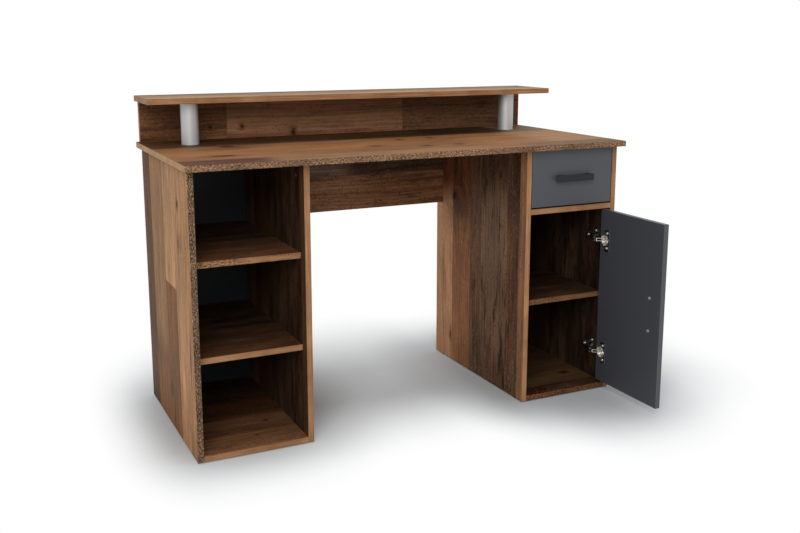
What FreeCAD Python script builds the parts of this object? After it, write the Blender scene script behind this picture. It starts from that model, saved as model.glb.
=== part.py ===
import FreeCAD, Part
import math
import os
from types import SimpleNamespace

import Sketcher

os.makedirs("parts", exist_ok=True)
DOC = FreeCAD.newDocument("ComputerDesk")

# Driving dimensions of the desk, in millimetres
DIMENSIONS = {
    # Overall form
    "worktop_width": 1300,
    "worktop_depth": 596,
    "desk_height": 766,
    "riser_height": 134,
    "monitor_shelf_depth": 193,
    "board": 16,
    "arris": 0.6,
    "seat_slack": 0.05,
    "overrun": 1,
    # Pedestals
    "side_inset": 10,
    "front_setback": 28,
    "back_setback": 27,
    "pedestal_width": 313,
    "drawer_opening": 170,
    "cupboard_shelf_rise": 267,
    "shelf_recess": 30,
    "shelf_side_gap": 0.5,
    "shelf_back_gap": 0.5,
    "back_panel": 3,
    "back_panel_setback": 15,
    "panel_groove": 5.5,
    "panel_groove_slack": 0.2,
    "panel_edge_gap": 0.5,
    # Floor glides
    "glide_height": 3,
    "glide_radius": 7,
    "glide_setback": 45,
    "glide_nail_radius": 1,
    "glide_nail_length": 15,
    # Modesty panel and monitor riser
    "modesty_setback": 53,
    "modesty_height": 223,
    "riser_board_inset": 8,
    "riser_board_setback": 8,
    "tube_radius": 25,
    "tube_wall": 1.5,
    "tube_inset": 127,
    "tube_setback": 132,
    "tube_plug_height": 15,
    "tube_bolt_radius": 3,
    "tube_bolt_head_radius": 6,
    "tube_bolt_head": 4,
    "tube_stud_depth": 10,
    # Cam fittings of the carcass
    "cam_radius": 7.5,
    "cam_depth": 12.5,
    "cam_reach": 34,
    "cam_slack": 0.1,
    "cam_edge": 60,
    "cam_bolt_radius": 3,
    "cam_bolt_neck_radius": 2,
    "cam_bolt_neck": 6,
    "cam_bolt_thread": 11,
    "cam_throat_radius": 3.8,
    "cam_cross_width": 1.4,
    "cam_cross_length": 8,
    "cam_cross_depth": 2,
    # Dowels
    "dowel_radius": 4,
    "dowel_depth": 11,
    "dowel_edge": 110,
    "riser_dowel_edge": 242,
    "riser_cam_edge": 102,
    # Shelf pins
    "pin_radius": 2.5,
    "pin_depth": 9,
    "pin_spoon_length": 8,
    "pin_spoon_width": 7,
    "pin_spoon_thickness": 2.5,
    "pin_edge": 50,
    # Drawer
    "front_side_gap": 2,
    "drawer_top_gap": 3,
    "drawer_bottom_gap": 4,
    "drawer_wall": 12,
    "drawer_wall_height": 110,
    "drawer_length": 450,
    "drawer_base_rise": 20,
    "drawer_floor": 3,
    "drawer_floor_rise": 10,
    "drawer_groove": 5,
    "small_cam_radius": 6,
    "small_cam_depth": 9,
    "small_cam_reach": 24,
    "small_cam_throat_radius": 2.6,
    "small_cam_bolt_radius": 2,
    "small_cam_bolt_neck_radius": 1.4,
    "small_cam_bolt_neck": 4,
    "small_cam_rise": 30,
    # Drawer runners
    "runner_space": 12.5,
    "runner_sheet": 1.2,
    "runner_setback": 4,
    "runner_flange": 8.8,
    "runner_head_room": 1.2,
    "runner_foot": 10,
    "runner_lip": 7.3,
    "runner_lip_rise": 17,
    "roller_radius": 10.5,
    "roller_width": 7.8,
    "roller_gap": 0.3,
    "roller_side_gap": 0.4,
    "roller_end": 11.5,
    "axle_radius": 3,
    "axle_head_radius": 4.2,
    "axle_head": 0.6,
    # Screws
    "screw_radius": 1.8,
    "screw_length": 11,
    "screw_head_radius": 3.4,
    "screw_head": 1.6,
    "screw_edge": 40,
    "handle_screw_radius": 2,
    "handle_screw_head_radius": 4,
    "handle_screw_head": 2.2,
    "handle_screw_bite": 8,
    # Bar handles
    "handle_length": 132,
    "handle_height": 18,
    "handle_spacing": 96,
    "handle_reach": 20,
    "handle_bar": 6,
    "handle_bevel": 5,
    "handle_foot": 10,
    "handle_shoulder": 22,
    "handle_round": 0.8,
    "door_handle_inset": 46,
    # Door
    "door_top_gap": 3.5,
    "door_bottom_gap": 10,
    # Concealed hinges
    "pivot_depth": 3,
    "pivot_inset": 8,
    "hinge_edge": 91.5,
    "cup_radius": 17.5,
    "cup_setback": 22,
    "cup_depth": 11.5,
    "cup_wall": 0.8,
    "flange_sheet": 1.2,
    "flange_lip": 1,
    "flange_offset": 9.5,
    "flange_spacing": 45,
    "flange_length": 66,
    "flange_width": 20,
    "flange_edge": 10,
    "link_pin_inset": 15,
    "link_pin_depth": 13,
    "arm_pin_inset": 37.4,
    "arm_pin_depth": 12.1,
    "link_pin_radius": 1.2,
    "link_radius": 2,
    "link_sheet": 1.2,
    "link_gap": 0.2,
    "nose_radius": 2.4,
    "nose_height": 6,
    "arm_height": 14,
    "arm_sheet": 3,
    "arm_bend": 44,
    "arm_knee": 22,
    "arm_knee_depth": 6,
    "arm_end_gap": 1,
    "rail_height": 6,
    "rail_width": 11,
    "plate_sheet": 3,
    "plate_front": 50,
    "plate_length": 47,
    "plate_width": 16,
    "wing_depth": 14,
    "wing_front": 3,
    "wing_spacing": 32,
    "wing_margin": 8,
    "arm_screw_edge": 12,
}
SHEET = DOC.addObject("Spreadsheet::Sheet", "Sizes")
for row, (alias, number) in enumerate(DIMENSIONS.items(), start=1):
    SHEET.set(f"A{row}", alias)
    SHEET.set(f"B{row}", str(number))
    SHEET.setAlias(f"B{row}", alias)
DOC.recompute()


class Length:
    """A length as an expression on the sheet, with the value it has now."""

    def __init__(self, text, value):
        self.text = text
        self.value = value

    def __add__(self, other):
        other = as_length(other)
        return Length(f"({self.text} + {other.text})", self.value + other.value)

    def __radd__(self, other):
        return as_length(other) + self

    def __sub__(self, other):
        other = as_length(other)
        return Length(f"({self.text} - {other.text})", self.value - other.value)

    def __rsub__(self, other):
        return as_length(other) - self

    def __neg__(self):
        return 0 - self

    def __mul__(self, other):
        other = as_length(other)
        return Length(f"({self.text} * {other.text})", self.value * other.value)

    def __rmul__(self, other):
        return as_length(other) * self

    def __truediv__(self, other):
        other = as_length(other)
        return Length(f"({self.text} / {other.text})", self.value / other.value)


def as_length(thing):
    """The thing itself where it is a length, or a plain count as one."""
    if isinstance(thing, Length):
        return thing
    return Length(str(thing), thing)


def diagonal(first, second):
    """The length of the diagonal across two lengths at right angles."""
    return Length(
        f"sqrt({first.text} ^ 2 + {second.text} ^ 2)",
        math.hypot(first.value, second.value),
    )


size = SimpleNamespace(
    **{alias: Length(f"Sizes.{alias}", float(SHEET.get(alias))) for alias in DIMENSIONS}
)

RIGHT, BACK, UP = (1, 0, 0), (0, 1, 0), (0, 0, 1)
LEFT, FRONT, DOWN = (-1, 0, 0), (0, -1, 0), (0, 0, -1)
NODES = {}


def moved(point, direction, distance):
    """The point moved by a distance along one of the six directions."""
    return tuple(
        coordinate + sign * distance if sign else as_length(coordinate)
        for coordinate, sign in zip(point, direction)
    )


def opposite(direction):
    """The direction that points the other way."""
    return tuple(-sign for sign in direction)


def crossed(first, second):
    """The direction at right angles to two others, by the right-hand rule."""
    return (
        first[1] * second[2] - first[2] * second[1],
        first[2] * second[0] - first[0] * second[2],
        first[0] * second[1] - first[1] * second[0],
    )


def vector(point):
    """The point's present place as a vector."""
    return FreeCAD.Vector(*(as_length(coordinate).value for coordinate in point))


def bind(thing, **lengths):
    """Bind properties of a document object to expressions on the sheet."""
    for name, length in lengths.items():
        thing.setExpression(name, as_length(length).text)


def place(thing, point, rotation=None):
    """Put an object at a point that is bound to the sheet."""
    thing.Placement = FreeCAD.Placement(vector(point), rotation or FreeCAD.Rotation())
    for axis, coordinate in zip("xyz", point):
        thing.setExpression(f"Placement.Base.{axis}", as_length(coordinate).text)


def turned(forward, upward):
    """The rotation that lays local X along one direction and local Z along another."""
    sideways = crossed(upward, forward)
    return FreeCAD.Rotation(
        FreeCAD.Vector(*forward), FreeCAD.Vector(*sideways), FreeCAD.Vector(*upward), "ZXY"
    )


# Plain solids and booleans


def block(low, high):
    """A rectangular solid between two opposite corners."""
    solid = DOC.addObject("Part::Box", "Block")
    bind(solid, Length=high[0] - low[0], Width=high[1] - low[1], Height=high[2] - low[2])
    place(solid, low)
    return solid


def rod(start, direction, radius, length):
    """A round solid from a point along one of the six directions."""
    solid = DOC.addObject("Part::Cylinder", "Rod")
    bind(solid, Radius=radius, Height=length)
    place(solid, start, FreeCAD.Rotation(FreeCAD.Vector(*UP), FreeCAD.Vector(*direction)))
    return solid


def union(solids):
    """Several solids joined into one."""
    if len(solids) == 1:
        return solids[0]
    joined = DOC.addObject("Part::MultiFuse", "Union")
    joined.Shapes = solids
    return joined


def less(solid, tools):
    """A solid less the tools that are cut out of it."""
    if not tools:
        return solid
    rest = DOC.addObject("Part::Cut", "Worked")
    rest.Base = solid
    rest.Tool = union(list(tools))
    return rest


def node(label, solid):
    """Name a finished piece, so that it is written as one file."""
    solid.Label = label
    NODES[label] = solid
    return solid


def group(label, pattern, places):
    """One piece repeated at many places, as separate solids under one name.

    Each place is a point with the directions of the pattern's own X and Z axes.
    """
    DOC.recompute()
    copies = []
    for point, forward, upward in places:
        copy = pattern.Shape.copy()
        copy.Placement = FreeCAD.Placement(vector(point), turned(forward, upward)) * copy.Placement
        copies.append(copy)
    gathered = DOC.addObject("Part::Feature", "Group")
    gathered.Shape = Part.makeCompound(copies)
    return node(label, gathered)


# Bodies drawn as an outline and padded


def drawn(plane, corners, thickness):
    """A body padded from an outline whose every corner is held by its two distances.

    The XY plane is padded up, the XZ plane backwards. Returns the body and its pad.
    """
    body = DOC.addObject("PartDesign::Body", "Drawn")
    support = [face for face in body.Origin.OriginFeatures if face.Role == plane][0]
    sketch = body.newObject("Sketcher::SketchObject", "Outline")
    sketch.AttachmentSupport = [(support, "")]
    sketch.MapMode = "FlatFace"
    count = len(corners)
    spots = [FreeCAD.Vector(as_length(x).value, as_length(y).value, 0) for x, y in corners]
    for index in range(count):
        sketch.addGeometry(Part.LineSegment(spots[index], spots[(index + 1) % count]))
    for index in range(count):
        sketch.addConstraint(Sketcher.Constraint("Coincident", index, 2, (index + 1) % count, 1))
    for index, corner in enumerate(corners):
        for kind, coordinate in zip(("DistanceX", "DistanceY"), corner):
            length = as_length(coordinate)
            number = sketch.addConstraint(
                Sketcher.Constraint(kind, -1, 1, index, 1, float(length.value))
            )
            sketch.setExpression(f"Constraints[{number}]", length.text)
    pad = body.newObject("PartDesign::Pad", "Thickness")
    pad.Profile = sketch
    pad.Reversed = plane == "XZ_Plane"
    bind(pad, Length=thickness)
    return body, pad


def broken_edges(body, base, radius):
    """Round every edge of a body by one radius."""
    rounding = body.newObject("PartDesign::Fillet", "Rounding")
    rounding.Base = (base, ["Edge1"])
    rounding.UseAllEdges = True
    bind(rounding, Radius=radius)
    body.Tip = rounding


def board(label, low, high, tools=()):
    """A board between two corners, its edges broken, less its bores and grooves."""
    width, depth = high[0] - low[0], high[1] - low[1]
    corners = [(0, 0), (width, 0), (width, depth), (0, depth)]
    body, pad = drawn("XY_Plane", corners, high[2] - low[2])
    arris = body.newObject("PartDesign::Chamfer", "Arris")
    arris.Base = (pad, ["Edge1"])
    arris.UseAllEdges = True
    bind(arris, Size=size.arris)
    body.Tip = arris
    place(body, low)
    return node(label, less(body, tools))


# Places that many pieces share

half_width = size.worktop_width / 2
carcass_left = -half_width + size.side_inset
interior = size.pedestal_width - 2 * size.board
front_width = interior - 2 * size.front_side_gap
hinge_back = size.pivot_depth + size.pivot_inset
door_reach = front_width - hinge_back
back_edge = (size.worktop_depth - size.front_setback + door_reach) / 2
front_edge = back_edge - size.worktop_depth
front_plane = front_edge + size.front_setback
sides_back = back_edge - size.back_setback
panel_back = sides_back - size.back_panel_setback
panel_front = panel_back - size.back_panel
worktop_under = size.desk_height - size.board
floor_board_top = size.glide_height + size.board
shelf_under = size.desk_height + size.riser_height - size.board
divider_top = worktop_under - size.drawer_opening
divider_under = divider_top - size.board

left_inside = (carcass_left + size.board, carcass_left + size.board + interior)
right_inside = (-left_inside[1], -left_inside[0])
knee_half = right_inside[0] - size.board
modesty_back = back_edge - size.modesty_setback
modesty_front = modesty_back - size.board
modesty_under = worktop_under - size.modesty_height
riser_back = back_edge - size.riser_board_setback
riser_front = riser_back - size.board
riser_end = half_width - size.riser_board_inset
tube_x = half_width - size.tube_inset
tube_y = back_edge - size.tube_setback


# Fittings that pull two boards together


class CamKind:
    """The sizes of one kind of cam fitting and the solids they give."""

    def __init__(self, board_thickness, radius, depth, reach, throat, bolt, neck, neck_length):
        self.mid = board_thickness / 2
        self.radius = radius
        self.depth = depth
        self.reach = reach
        self.throat = throat
        self.bolt = bolt
        self.neck = neck
        self.neck_length = neck_length

    def housing(self, joint, inward, face):
        """Bores in the board that holds the cam: the cam's own and the bolt's."""
        centre = moved(moved(joint, inward, self.reach), face, self.mid)
        return [
            rod(centre, opposite(face), self.radius, self.depth),
            rod(moved(joint, opposite(inward), size.overrun), inward, self.throat,
                self.reach + size.overrun),
        ]

    def thread(self, joint, inward):
        """Bore in the board that the bolt is screwed into."""
        start = moved(joint, inward, size.overrun)
        return rod(start, opposite(inward), self.bolt + size.seat_slack,
                   size.cam_bolt_thread + size.overrun)

    def cam(self):
        """The cam, its driving cross at the origin and its throat along X."""
        axis_drop = -self.mid
        disc = rod((0, 0, -self.depth), UP, self.radius - size.cam_slack, self.depth)
        throat = rod((0, 0, axis_drop), RIGHT, self.throat, self.radius)
        half, arm = size.cam_cross_width / 2, size.cam_cross_length / 2
        cross = [
            block((-half, -arm, -size.cam_cross_depth), (half, arm, size.overrun)),
            block((-arm, -half, -size.cam_cross_depth), (arm, half, size.overrun)),
        ]
        return less(disc, [throat] + cross)

    def bolt_pattern(self):
        """The bolt, its joint plane at the origin and its head along X."""
        shank = self.reach - self.radius - self.neck_length / 2
        head = self.radius - size.cam_slack
        return union([
            rod((-size.cam_bolt_thread, 0, 0), RIGHT, self.bolt, size.cam_bolt_thread + shank),
            rod((shank, 0, 0), RIGHT, self.neck, self.neck_length),
            rod((shank + self.neck_length, 0, 0), RIGHT, self.bolt, head - self.neck_length / 2),
        ])


def carcass_cams():
    """The cam fitting of the 16 mm boards."""
    return CamKind(size.board, size.cam_radius, size.cam_depth, size.cam_reach,
                   size.cam_throat_radius, size.cam_bolt_radius, size.cam_bolt_neck_radius,
                   size.cam_bolt_neck)


def drawer_cams():
    """The smaller cam fitting of the drawer's thin walls."""
    return CamKind(size.drawer_wall, size.small_cam_radius, size.small_cam_depth,
                   size.small_cam_reach, size.small_cam_throat_radius,
                   size.small_cam_bolt_radius, size.small_cam_bolt_neck_radius,
                   size.small_cam_bolt_neck)


CAMS = carcass_cams()
SMALL_CAMS = drawer_cams()


class Joint:
    """One edge joint between two boards, with its cams and its dowels.

    Each point lies on the joint plane, midway in the thickness of the edge. The inward
    direction points into the board that holds the cams, and the face direction to the
    face that they open on.
    """

    def __init__(self, inward, face, cam_points, dowel_points, cams=None):
        self.inward = inward
        self.face = face
        self.cam_points = cam_points
        self.dowel_points = dowel_points
        self.cams = cams or CAMS

    def edge_tools(self):
        """Bores in the board whose edge meets the joint plane."""
        bores = []
        for point in self.cam_points:
            bores += self.cams.housing(point, self.inward, self.face)
        bores += [self.dowel_bore(point, self.inward) for point in self.dowel_points]
        return bores

    def face_tools(self):
        """Bores in the board whose face meets the joint plane."""
        bores = [self.cams.thread(point, self.inward) for point in self.cam_points]
        outward = opposite(self.inward)
        bores += [self.dowel_bore(point, outward) for point in self.dowel_points]
        return bores

    def dowel_bore(self, point, direction):
        """The hole for half a dowel."""
        start = moved(point, opposite(direction), size.overrun)
        return rod(start, direction, size.dowel_radius + size.seat_slack,
                   size.dowel_depth + 2 * size.overrun)

    def cam_places(self):
        """Where the cams lie, with their throats towards the joint."""
        reach, mid = self.cams.reach, self.cams.mid
        return [
            (moved(moved(point, self.inward, reach), self.face, mid),
             opposite(self.inward), self.face)
            for point in self.cam_points
        ]

    def bolt_places(self):
        """Where the bolts lie, with their heads in the cams."""
        return [(point, self.inward, self.face) for point in self.cam_points]

    def dowel_places(self):
        """Where the dowels lie, half in each board."""
        return [(point, self.face, self.inward) for point in self.dowel_points]


def across(first, second, edge):
    """The two places that lie one edge distance inside a span."""
    return [first + edge, second - edge]


def side_to_worktop(mid_x, face):
    """The joint of one pedestal side with the worktop above it."""
    cams = [(mid_x, y, worktop_under) for y in across(front_plane, sides_back, size.cam_edge)]
    dowels = [(mid_x, y, worktop_under) for y in across(front_plane, sides_back, size.dowel_edge)]
    return Joint(DOWN, face, cams, dowels)


def board_to_side(x, inward, mid_z):
    """The joint of a level board's end with a pedestal side."""
    cams = [(x, y, mid_z) for y in across(front_plane, panel_front, size.cam_edge)]
    dowels = [(x, (front_plane + panel_front) / 2, mid_z)]
    return Joint(inward, DOWN, cams, dowels)


def modesty_to_side(x, inward):
    """The joint of the modesty panel's end with a pedestal side."""
    mid_y = modesty_front + size.board / 2
    cams = [(x, mid_y, z) for z in across(modesty_under, worktop_under, size.cam_edge)]
    return Joint(inward, BACK, cams, [(x, mid_y, modesty_under + size.modesty_height / 2)])


def riser_joint(z, inward):
    """The joint of the riser board's long edge with the board below or above it."""
    mid_y = riser_front + size.board / 2
    cam_shares = (-1, -1 / 3, 1 / 3, 1)
    cam_x = [share * (riser_end - size.riser_cam_edge) for share in cam_shares]
    dowel_x = [0] + across(-riser_end, riser_end, size.riser_dowel_edge)
    return Joint(inward, BACK, [(x, mid_y, z) for x in cam_x], [(x, mid_y, z) for x in dowel_x])


half_board = size.board / 2
left_outer_top = side_to_worktop(left_inside[0] - half_board, RIGHT)
left_inner_top = side_to_worktop(left_inside[1] + half_board, LEFT)
right_inner_top = side_to_worktop(right_inside[0] - half_board, RIGHT)
right_outer_top = side_to_worktop(right_inside[1] + half_board, LEFT)
floor_board_mid = size.glide_height + half_board
divider_mid = divider_under + half_board
left_floor_outer = board_to_side(left_inside[0], RIGHT, floor_board_mid)
left_floor_inner = board_to_side(left_inside[1], LEFT, floor_board_mid)
right_floor_inner = board_to_side(right_inside[0], RIGHT, floor_board_mid)
right_floor_outer = board_to_side(right_inside[1], LEFT, floor_board_mid)
divider_inner = board_to_side(right_inside[0], RIGHT, divider_mid)
divider_outer = board_to_side(right_inside[1], LEFT, divider_mid)
modesty_left = modesty_to_side(-knee_half, RIGHT)
modesty_right = modesty_to_side(knee_half, LEFT)
riser_foot = riser_joint(size.desk_height, UP)
riser_head = riser_joint(shelf_under, DOWN)
JOINTS = [
    left_outer_top, left_inner_top, right_inner_top, right_outer_top,
    left_floor_outer, left_floor_inner, right_floor_inner, right_floor_outer,
    divider_inner, divider_outer, modesty_left, modesty_right, riser_foot, riser_head,
]


# Worktop and monitor riser


def make_worktop():
    """The worktop, bored from below for the sides and through for the tube bolts."""
    tools = []
    for joint in (left_outer_top, left_inner_top, right_inner_top, right_outer_top, riser_foot):
        tools += joint.face_tools()
    for sign in (-1, 1):
        start = (sign * tube_x, tube_y, worktop_under - size.overrun)
        tools.append(rod(start, UP, size.tube_bolt_radius + size.seat_slack,
                         size.board + 2 * size.overrun))
    board("worktop", (-half_width, front_edge, worktop_under),
          (half_width, back_edge, size.desk_height), tools)


def make_monitor_shelf():
    """The long shelf for the monitor, as wide as the worktop."""
    tools = riser_head.face_tools()
    for sign in (-1, 1):
        start = (sign * tube_x, tube_y, shelf_under - size.overrun)
        tools.append(rod(start, UP, size.tube_bolt_radius + size.seat_slack,
                         size.tube_stud_depth + 2 * size.overrun))
    board("monitor_shelf", (-half_width, back_edge - size.monitor_shelf_depth, shelf_under),
          (half_width, back_edge, shelf_under + size.board), tools)


def make_riser_board():
    """The upright board behind the monitor shelf's underside."""
    board("riser_backboard", (-riser_end, riser_front, size.desk_height),
          (riser_end, riser_back, shelf_under), riser_foot.edge_tools() + riser_head.edge_tools())


def make_riser_tubes():
    """The two round tubes with their end plugs, bolts and studs."""
    rise = shelf_under - size.desk_height
    bore = size.tube_radius - size.tube_wall
    for sign, name in ((-1, "riser_tube_left"), (1, "riser_tube_right")):
        foot = (sign * tube_x, tube_y, size.desk_height)
        hollow = rod(moved(foot, DOWN, size.overrun), UP, bore, rise + 2 * size.overrun)
        node(name, less(rod(foot, UP, size.tube_radius, rise), [hollow]))
    plug = less(
        rod((0, 0, 0), UP, bore - size.seat_slack, size.tube_plug_height),
        [rod((0, 0, -size.overrun), UP, size.tube_bolt_radius + size.seat_slack,
             size.tube_plug_height + 2 * size.overrun)],
    )
    columns = [(-tube_x, tube_y), (tube_x, tube_y)]
    feet = [(x, y, size.desk_height) for x, y in columns]
    heads = [(x, y, shelf_under) for x, y in columns]
    group("tube_end_plugs", plug,
          [(point, RIGHT, UP) for point in feet] + [(point, RIGHT, DOWN) for point in heads])
    bolt = union([
        rod((0, 0, -size.tube_bolt_head), UP, size.tube_bolt_head_radius, size.tube_bolt_head),
        rod((0, 0, 0), UP, size.tube_bolt_radius, size.board + size.tube_plug_height),
    ])
    group("tube_bolts", bolt, [((x, y, worktop_under), RIGHT, UP) for x, y in columns])
    stud = rod((0, 0, -size.tube_plug_height), UP, size.tube_bolt_radius,
               size.tube_plug_height + size.tube_stud_depth)
    group("tube_studs", stud, [(point, RIGHT, UP) for point in heads])


# Pedestals


def panel_groove(inside_x, outward):
    """The groove for the back panel down the inner face of a side."""
    depth = size.panel_groove
    deep = inside_x + outward * depth
    shallow = inside_x - outward * size.overrun
    low_x, high_x = (deep, shallow) if outward < 0 else (shallow, deep)
    return block(
        (low_x, panel_front, size.glide_height - size.overrun),
        (high_x, panel_back + size.panel_groove_slack, worktop_under + size.overrun),
    )


def pin_rows():
    """The two places from front to back where shelf pins stand."""
    return across(front_plane + size.shelf_recess, panel_front, size.pin_edge)


def pin_bores(inside_x, into_side, shelf_unders):
    """The holes for shelf pins in one side."""
    return [
        rod(moved((inside_x, y, z - size.pin_radius), opposite(into_side), size.overrun),
            into_side, size.pin_radius + size.seat_slack, size.pin_depth + size.overrun)
        for z in shelf_unders for y in pin_rows()
    ]


def glide_points():
    """The places of the eight floor glides, under the sides' ends."""
    mids = [left_inside[0] - half_board, left_inside[1] + half_board,
            right_inside[0] - half_board, right_inside[1] + half_board]
    rows = across(front_plane, sides_back, size.glide_setback)
    return [(x, y, size.glide_height) for x in mids for y in rows]


def nail_bores(mid_x):
    """The holes for the glides' nails in the lower edge of one side."""
    return [
        rod((mid_x, y, size.glide_height - size.overrun), UP,
            size.glide_nail_radius + size.seat_slack, size.glide_nail_length + size.overrun)
        for y in across(front_plane, sides_back, size.glide_setback)
    ]


def make_side(label, inside_x, outward, joints, face_joints, shelf_unders, extra=()):
    """One tall side of a pedestal, from the glides to the worktop."""
    into_side = (outward, 0, 0)
    far_x = inside_x + outward * size.board
    low_x, high_x = (far_x, inside_x) if outward < 0 else (inside_x, far_x)
    tools = [panel_groove(inside_x, outward)]
    for joint in joints:
        tools += joint.edge_tools()
    for joint in face_joints:
        tools += joint.face_tools()
    tools += pin_bores(inside_x, into_side, shelf_unders)
    tools += nail_bores(inside_x + outward * half_board)
    tools += extra
    board(label, (low_x, front_plane, size.glide_height), (high_x, sides_back, worktop_under), tools)


def make_level_board(label, inside, under, joints):
    """A fixed level board between two sides, flush with their front edges."""
    tools = []
    for joint in joints:
        tools += joint.edge_tools()
    board(label, (inside[0], front_plane, under), (inside[1], panel_front, under + size.board), tools)


def make_loose_shelf(label, inside, under):
    """A shelf that lies on four pins, set back from the front edges."""
    gap = size.shelf_side_gap
    board(label, (inside[0] + gap, front_plane + size.shelf_recess, under),
          (inside[1] - gap, panel_front - size.shelf_back_gap, under + size.board))


def make_back_panel(label, inside):
    """The thin panel that slides in the grooves of the sides."""
    reach = size.panel_groove - size.panel_edge_gap
    solid = block((inside[0] - reach, panel_front, size.glide_height),
                  (inside[1] + reach, panel_back, worktop_under))
    node(label, solid)


left_space = worktop_under - floor_board_top
left_gap = (left_space - 2 * size.board) / 3
lower_shelf_under = floor_board_top + left_gap
upper_shelf_under = lower_shelf_under + size.board + left_gap
left_shelf_unders = [lower_shelf_under, upper_shelf_under]
cupboard_shelf_under = floor_board_top + size.cupboard_shelf_rise


def make_left_pedestal():
    """The open pedestal with two loose shelves."""
    make_side("left_outer_side", left_inside[0], -1, [left_outer_top], [left_floor_outer],
              left_shelf_unders)
    make_side("left_inner_side", left_inside[1], 1, [left_inner_top],
              [left_floor_inner, modesty_left], left_shelf_unders)
    make_level_board("left_bottom_board", left_inside, size.glide_height,
                     [left_floor_outer, left_floor_inner])
    make_loose_shelf("left_lower_shelf", left_inside, lower_shelf_under)
    make_loose_shelf("left_upper_shelf", left_inside, upper_shelf_under)
    make_back_panel("left_back_panel", left_inside)


def make_right_pedestal():
    """The pedestal with a drawer above and a cupboard below."""
    make_side("right_inner_side", right_inside[0], -1, [right_inner_top],
              [right_floor_inner, divider_inner, modesty_right], [cupboard_shelf_under],
              cabinet_runner_screw_bores(right_inside[0], RIGHT))
    make_side("right_outer_side", right_inside[1], 1, [right_outer_top],
              [right_floor_outer, divider_outer], [cupboard_shelf_under],
              cabinet_runner_screw_bores(right_inside[1], LEFT) + hinge_plate_bores())
    make_level_board("right_bottom_board", right_inside, size.glide_height,
                     [right_floor_inner, right_floor_outer])
    make_level_board("drawer_divider", right_inside, divider_under,
                     [divider_inner, divider_outer])
    make_loose_shelf("cupboard_shelf", right_inside, cupboard_shelf_under)
    make_back_panel("right_back_panel", right_inside)


def make_modesty_panel():
    """The panel between the pedestals, under the worktop's rear half."""
    board("modesty_panel", (-knee_half, modesty_front, modesty_under),
          (knee_half, modesty_back, worktop_under),
          modesty_left.edge_tools() + modesty_right.edge_tools())


def make_carcass_fittings():
    """Cams, bolts, dowels, shelf pins and glides of the fixed carcass."""
    cam_places = [item for joint in JOINTS for item in joint.cam_places()]
    bolt_places = [item for joint in JOINTS for item in joint.bolt_places()]
    dowel_places = [item for joint in JOINTS for item in joint.dowel_places()]
    group("cam_locks", CAMS.cam(), cam_places)
    group("cam_bolts", CAMS.bolt_pattern(), bolt_places)
    dowel = rod((0, 0, -size.dowel_depth), UP, size.dowel_radius, 2 * size.dowel_depth)
    group("wooden_dowels", dowel, dowel_places)
    half_spoon = size.pin_spoon_width / 2
    pin = union([
        rod((0, 0, -size.pin_radius), LEFT, size.pin_radius, size.pin_depth),
        rod((0, 0, -size.pin_radius), RIGHT, size.pin_radius, size.pin_spoon_thickness),
        block((0, -half_spoon, -size.pin_spoon_thickness), (size.pin_spoon_length, half_spoon, 0)),
    ])
    shelves = [(left_inside, lower_shelf_under), (left_inside, upper_shelf_under),
               (right_inside, cupboard_shelf_under)]
    pins = []
    for inside, under in shelves:
        for y in pin_rows():
            pins.append(((inside[0], y, under), RIGHT, UP))
            pins.append(((inside[1], y, under), LEFT, UP))
    group("shelf_pins", pin, pins)
    glide = union([
        rod((0, 0, -size.glide_height), UP, size.glide_radius, size.glide_height),
        rod((0, 0, 0), UP, size.glide_nail_radius, size.glide_nail_length),
    ])
    group("floor_glides", glide, [(point, RIGHT, UP) for point in glide_points()])


# Screws


def screw(radius, length, head_radius, head):
    """A pan-head screw, its seat at the origin and its shank down."""
    return union([
        rod((0, 0, 0), UP, head_radius, head),
        rod((0, 0, -length), UP, radius, length),
    ])


def small_screw():
    """The chipboard screw of runners, hinges and the drawer back."""
    return screw(size.screw_radius, size.screw_length, size.screw_head_radius, size.screw_head)


def screw_bore(seat, direction, depth=None):
    """A hole for a small screw from its seat along a direction."""
    start = moved(seat, opposite(direction), size.overrun)
    return rod(start, direction, size.screw_radius + size.seat_slack,
               (depth or size.screw_length) + 2 * size.overrun)


# Bar handles


def make_handle(label, centre, along, outward):
    """A flat bar on two tapered feet, lying along one direction.

    The centre lies on the face that carries the handle, midway between the feet.
    """
    end = size.handle_length / 2
    foot_at = size.handle_spacing / 2
    foot, shoulder = size.handle_foot / 2, size.handle_shoulder / 2
    top, under = size.handle_reach, size.handle_reach - size.handle_bar
    right_half = [
        (end - size.handle_bevel, top), (end, under), (foot_at + shoulder, under),
        (foot_at + foot, 0), (foot_at - foot, 0), (foot_at - shoulder, under),
    ]
    left_half = [(-x, y) for x, y in reversed(right_half)]
    body, pad = drawn("XY_Plane", right_half + left_half, size.handle_height)
    pad.Midplane = True
    broken_edges(body, pad, size.handle_round)
    bores = [
        rod((sign * foot_at, -size.overrun, 0), BACK, size.handle_screw_radius + size.seat_slack,
            size.handle_screw_bite + size.overrun)
        for sign in (-1, 1)
    ]
    handle = less(body, bores)
    upward = crossed(along, outward)
    place(handle, centre, turned(along, upward))
    return node(label, handle)


def handle_screw_places(centre, along):
    """Where a handle's two screws pass through the panel behind it."""
    return [moved(centre, along, sign * size.handle_spacing / 2) for sign in (-1, 1)]


def handle_screw_bores(centre, along, outward):
    """The holes for a handle's screws through the panel behind it."""
    return [
        rod(moved(point, outward, size.overrun), opposite(outward),
            size.handle_screw_radius + size.seat_slack, size.board + 2 * size.overrun)
        for point in handle_screw_places(centre, along)
    ]


def make_handle_screws(label, centre, along, outward):
    """The two screws that hold a handle from the back of its panel."""
    pattern = screw(size.handle_screw_radius, size.board + size.handle_screw_bite,
                    size.handle_screw_head_radius, size.handle_screw_head)
    backs = [moved(point, opposite(outward), size.board)
             for point in handle_screw_places(centre, along)]
    group(label, pattern, [(point, along, opposite(outward)) for point in backs])


# Drawer

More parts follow.
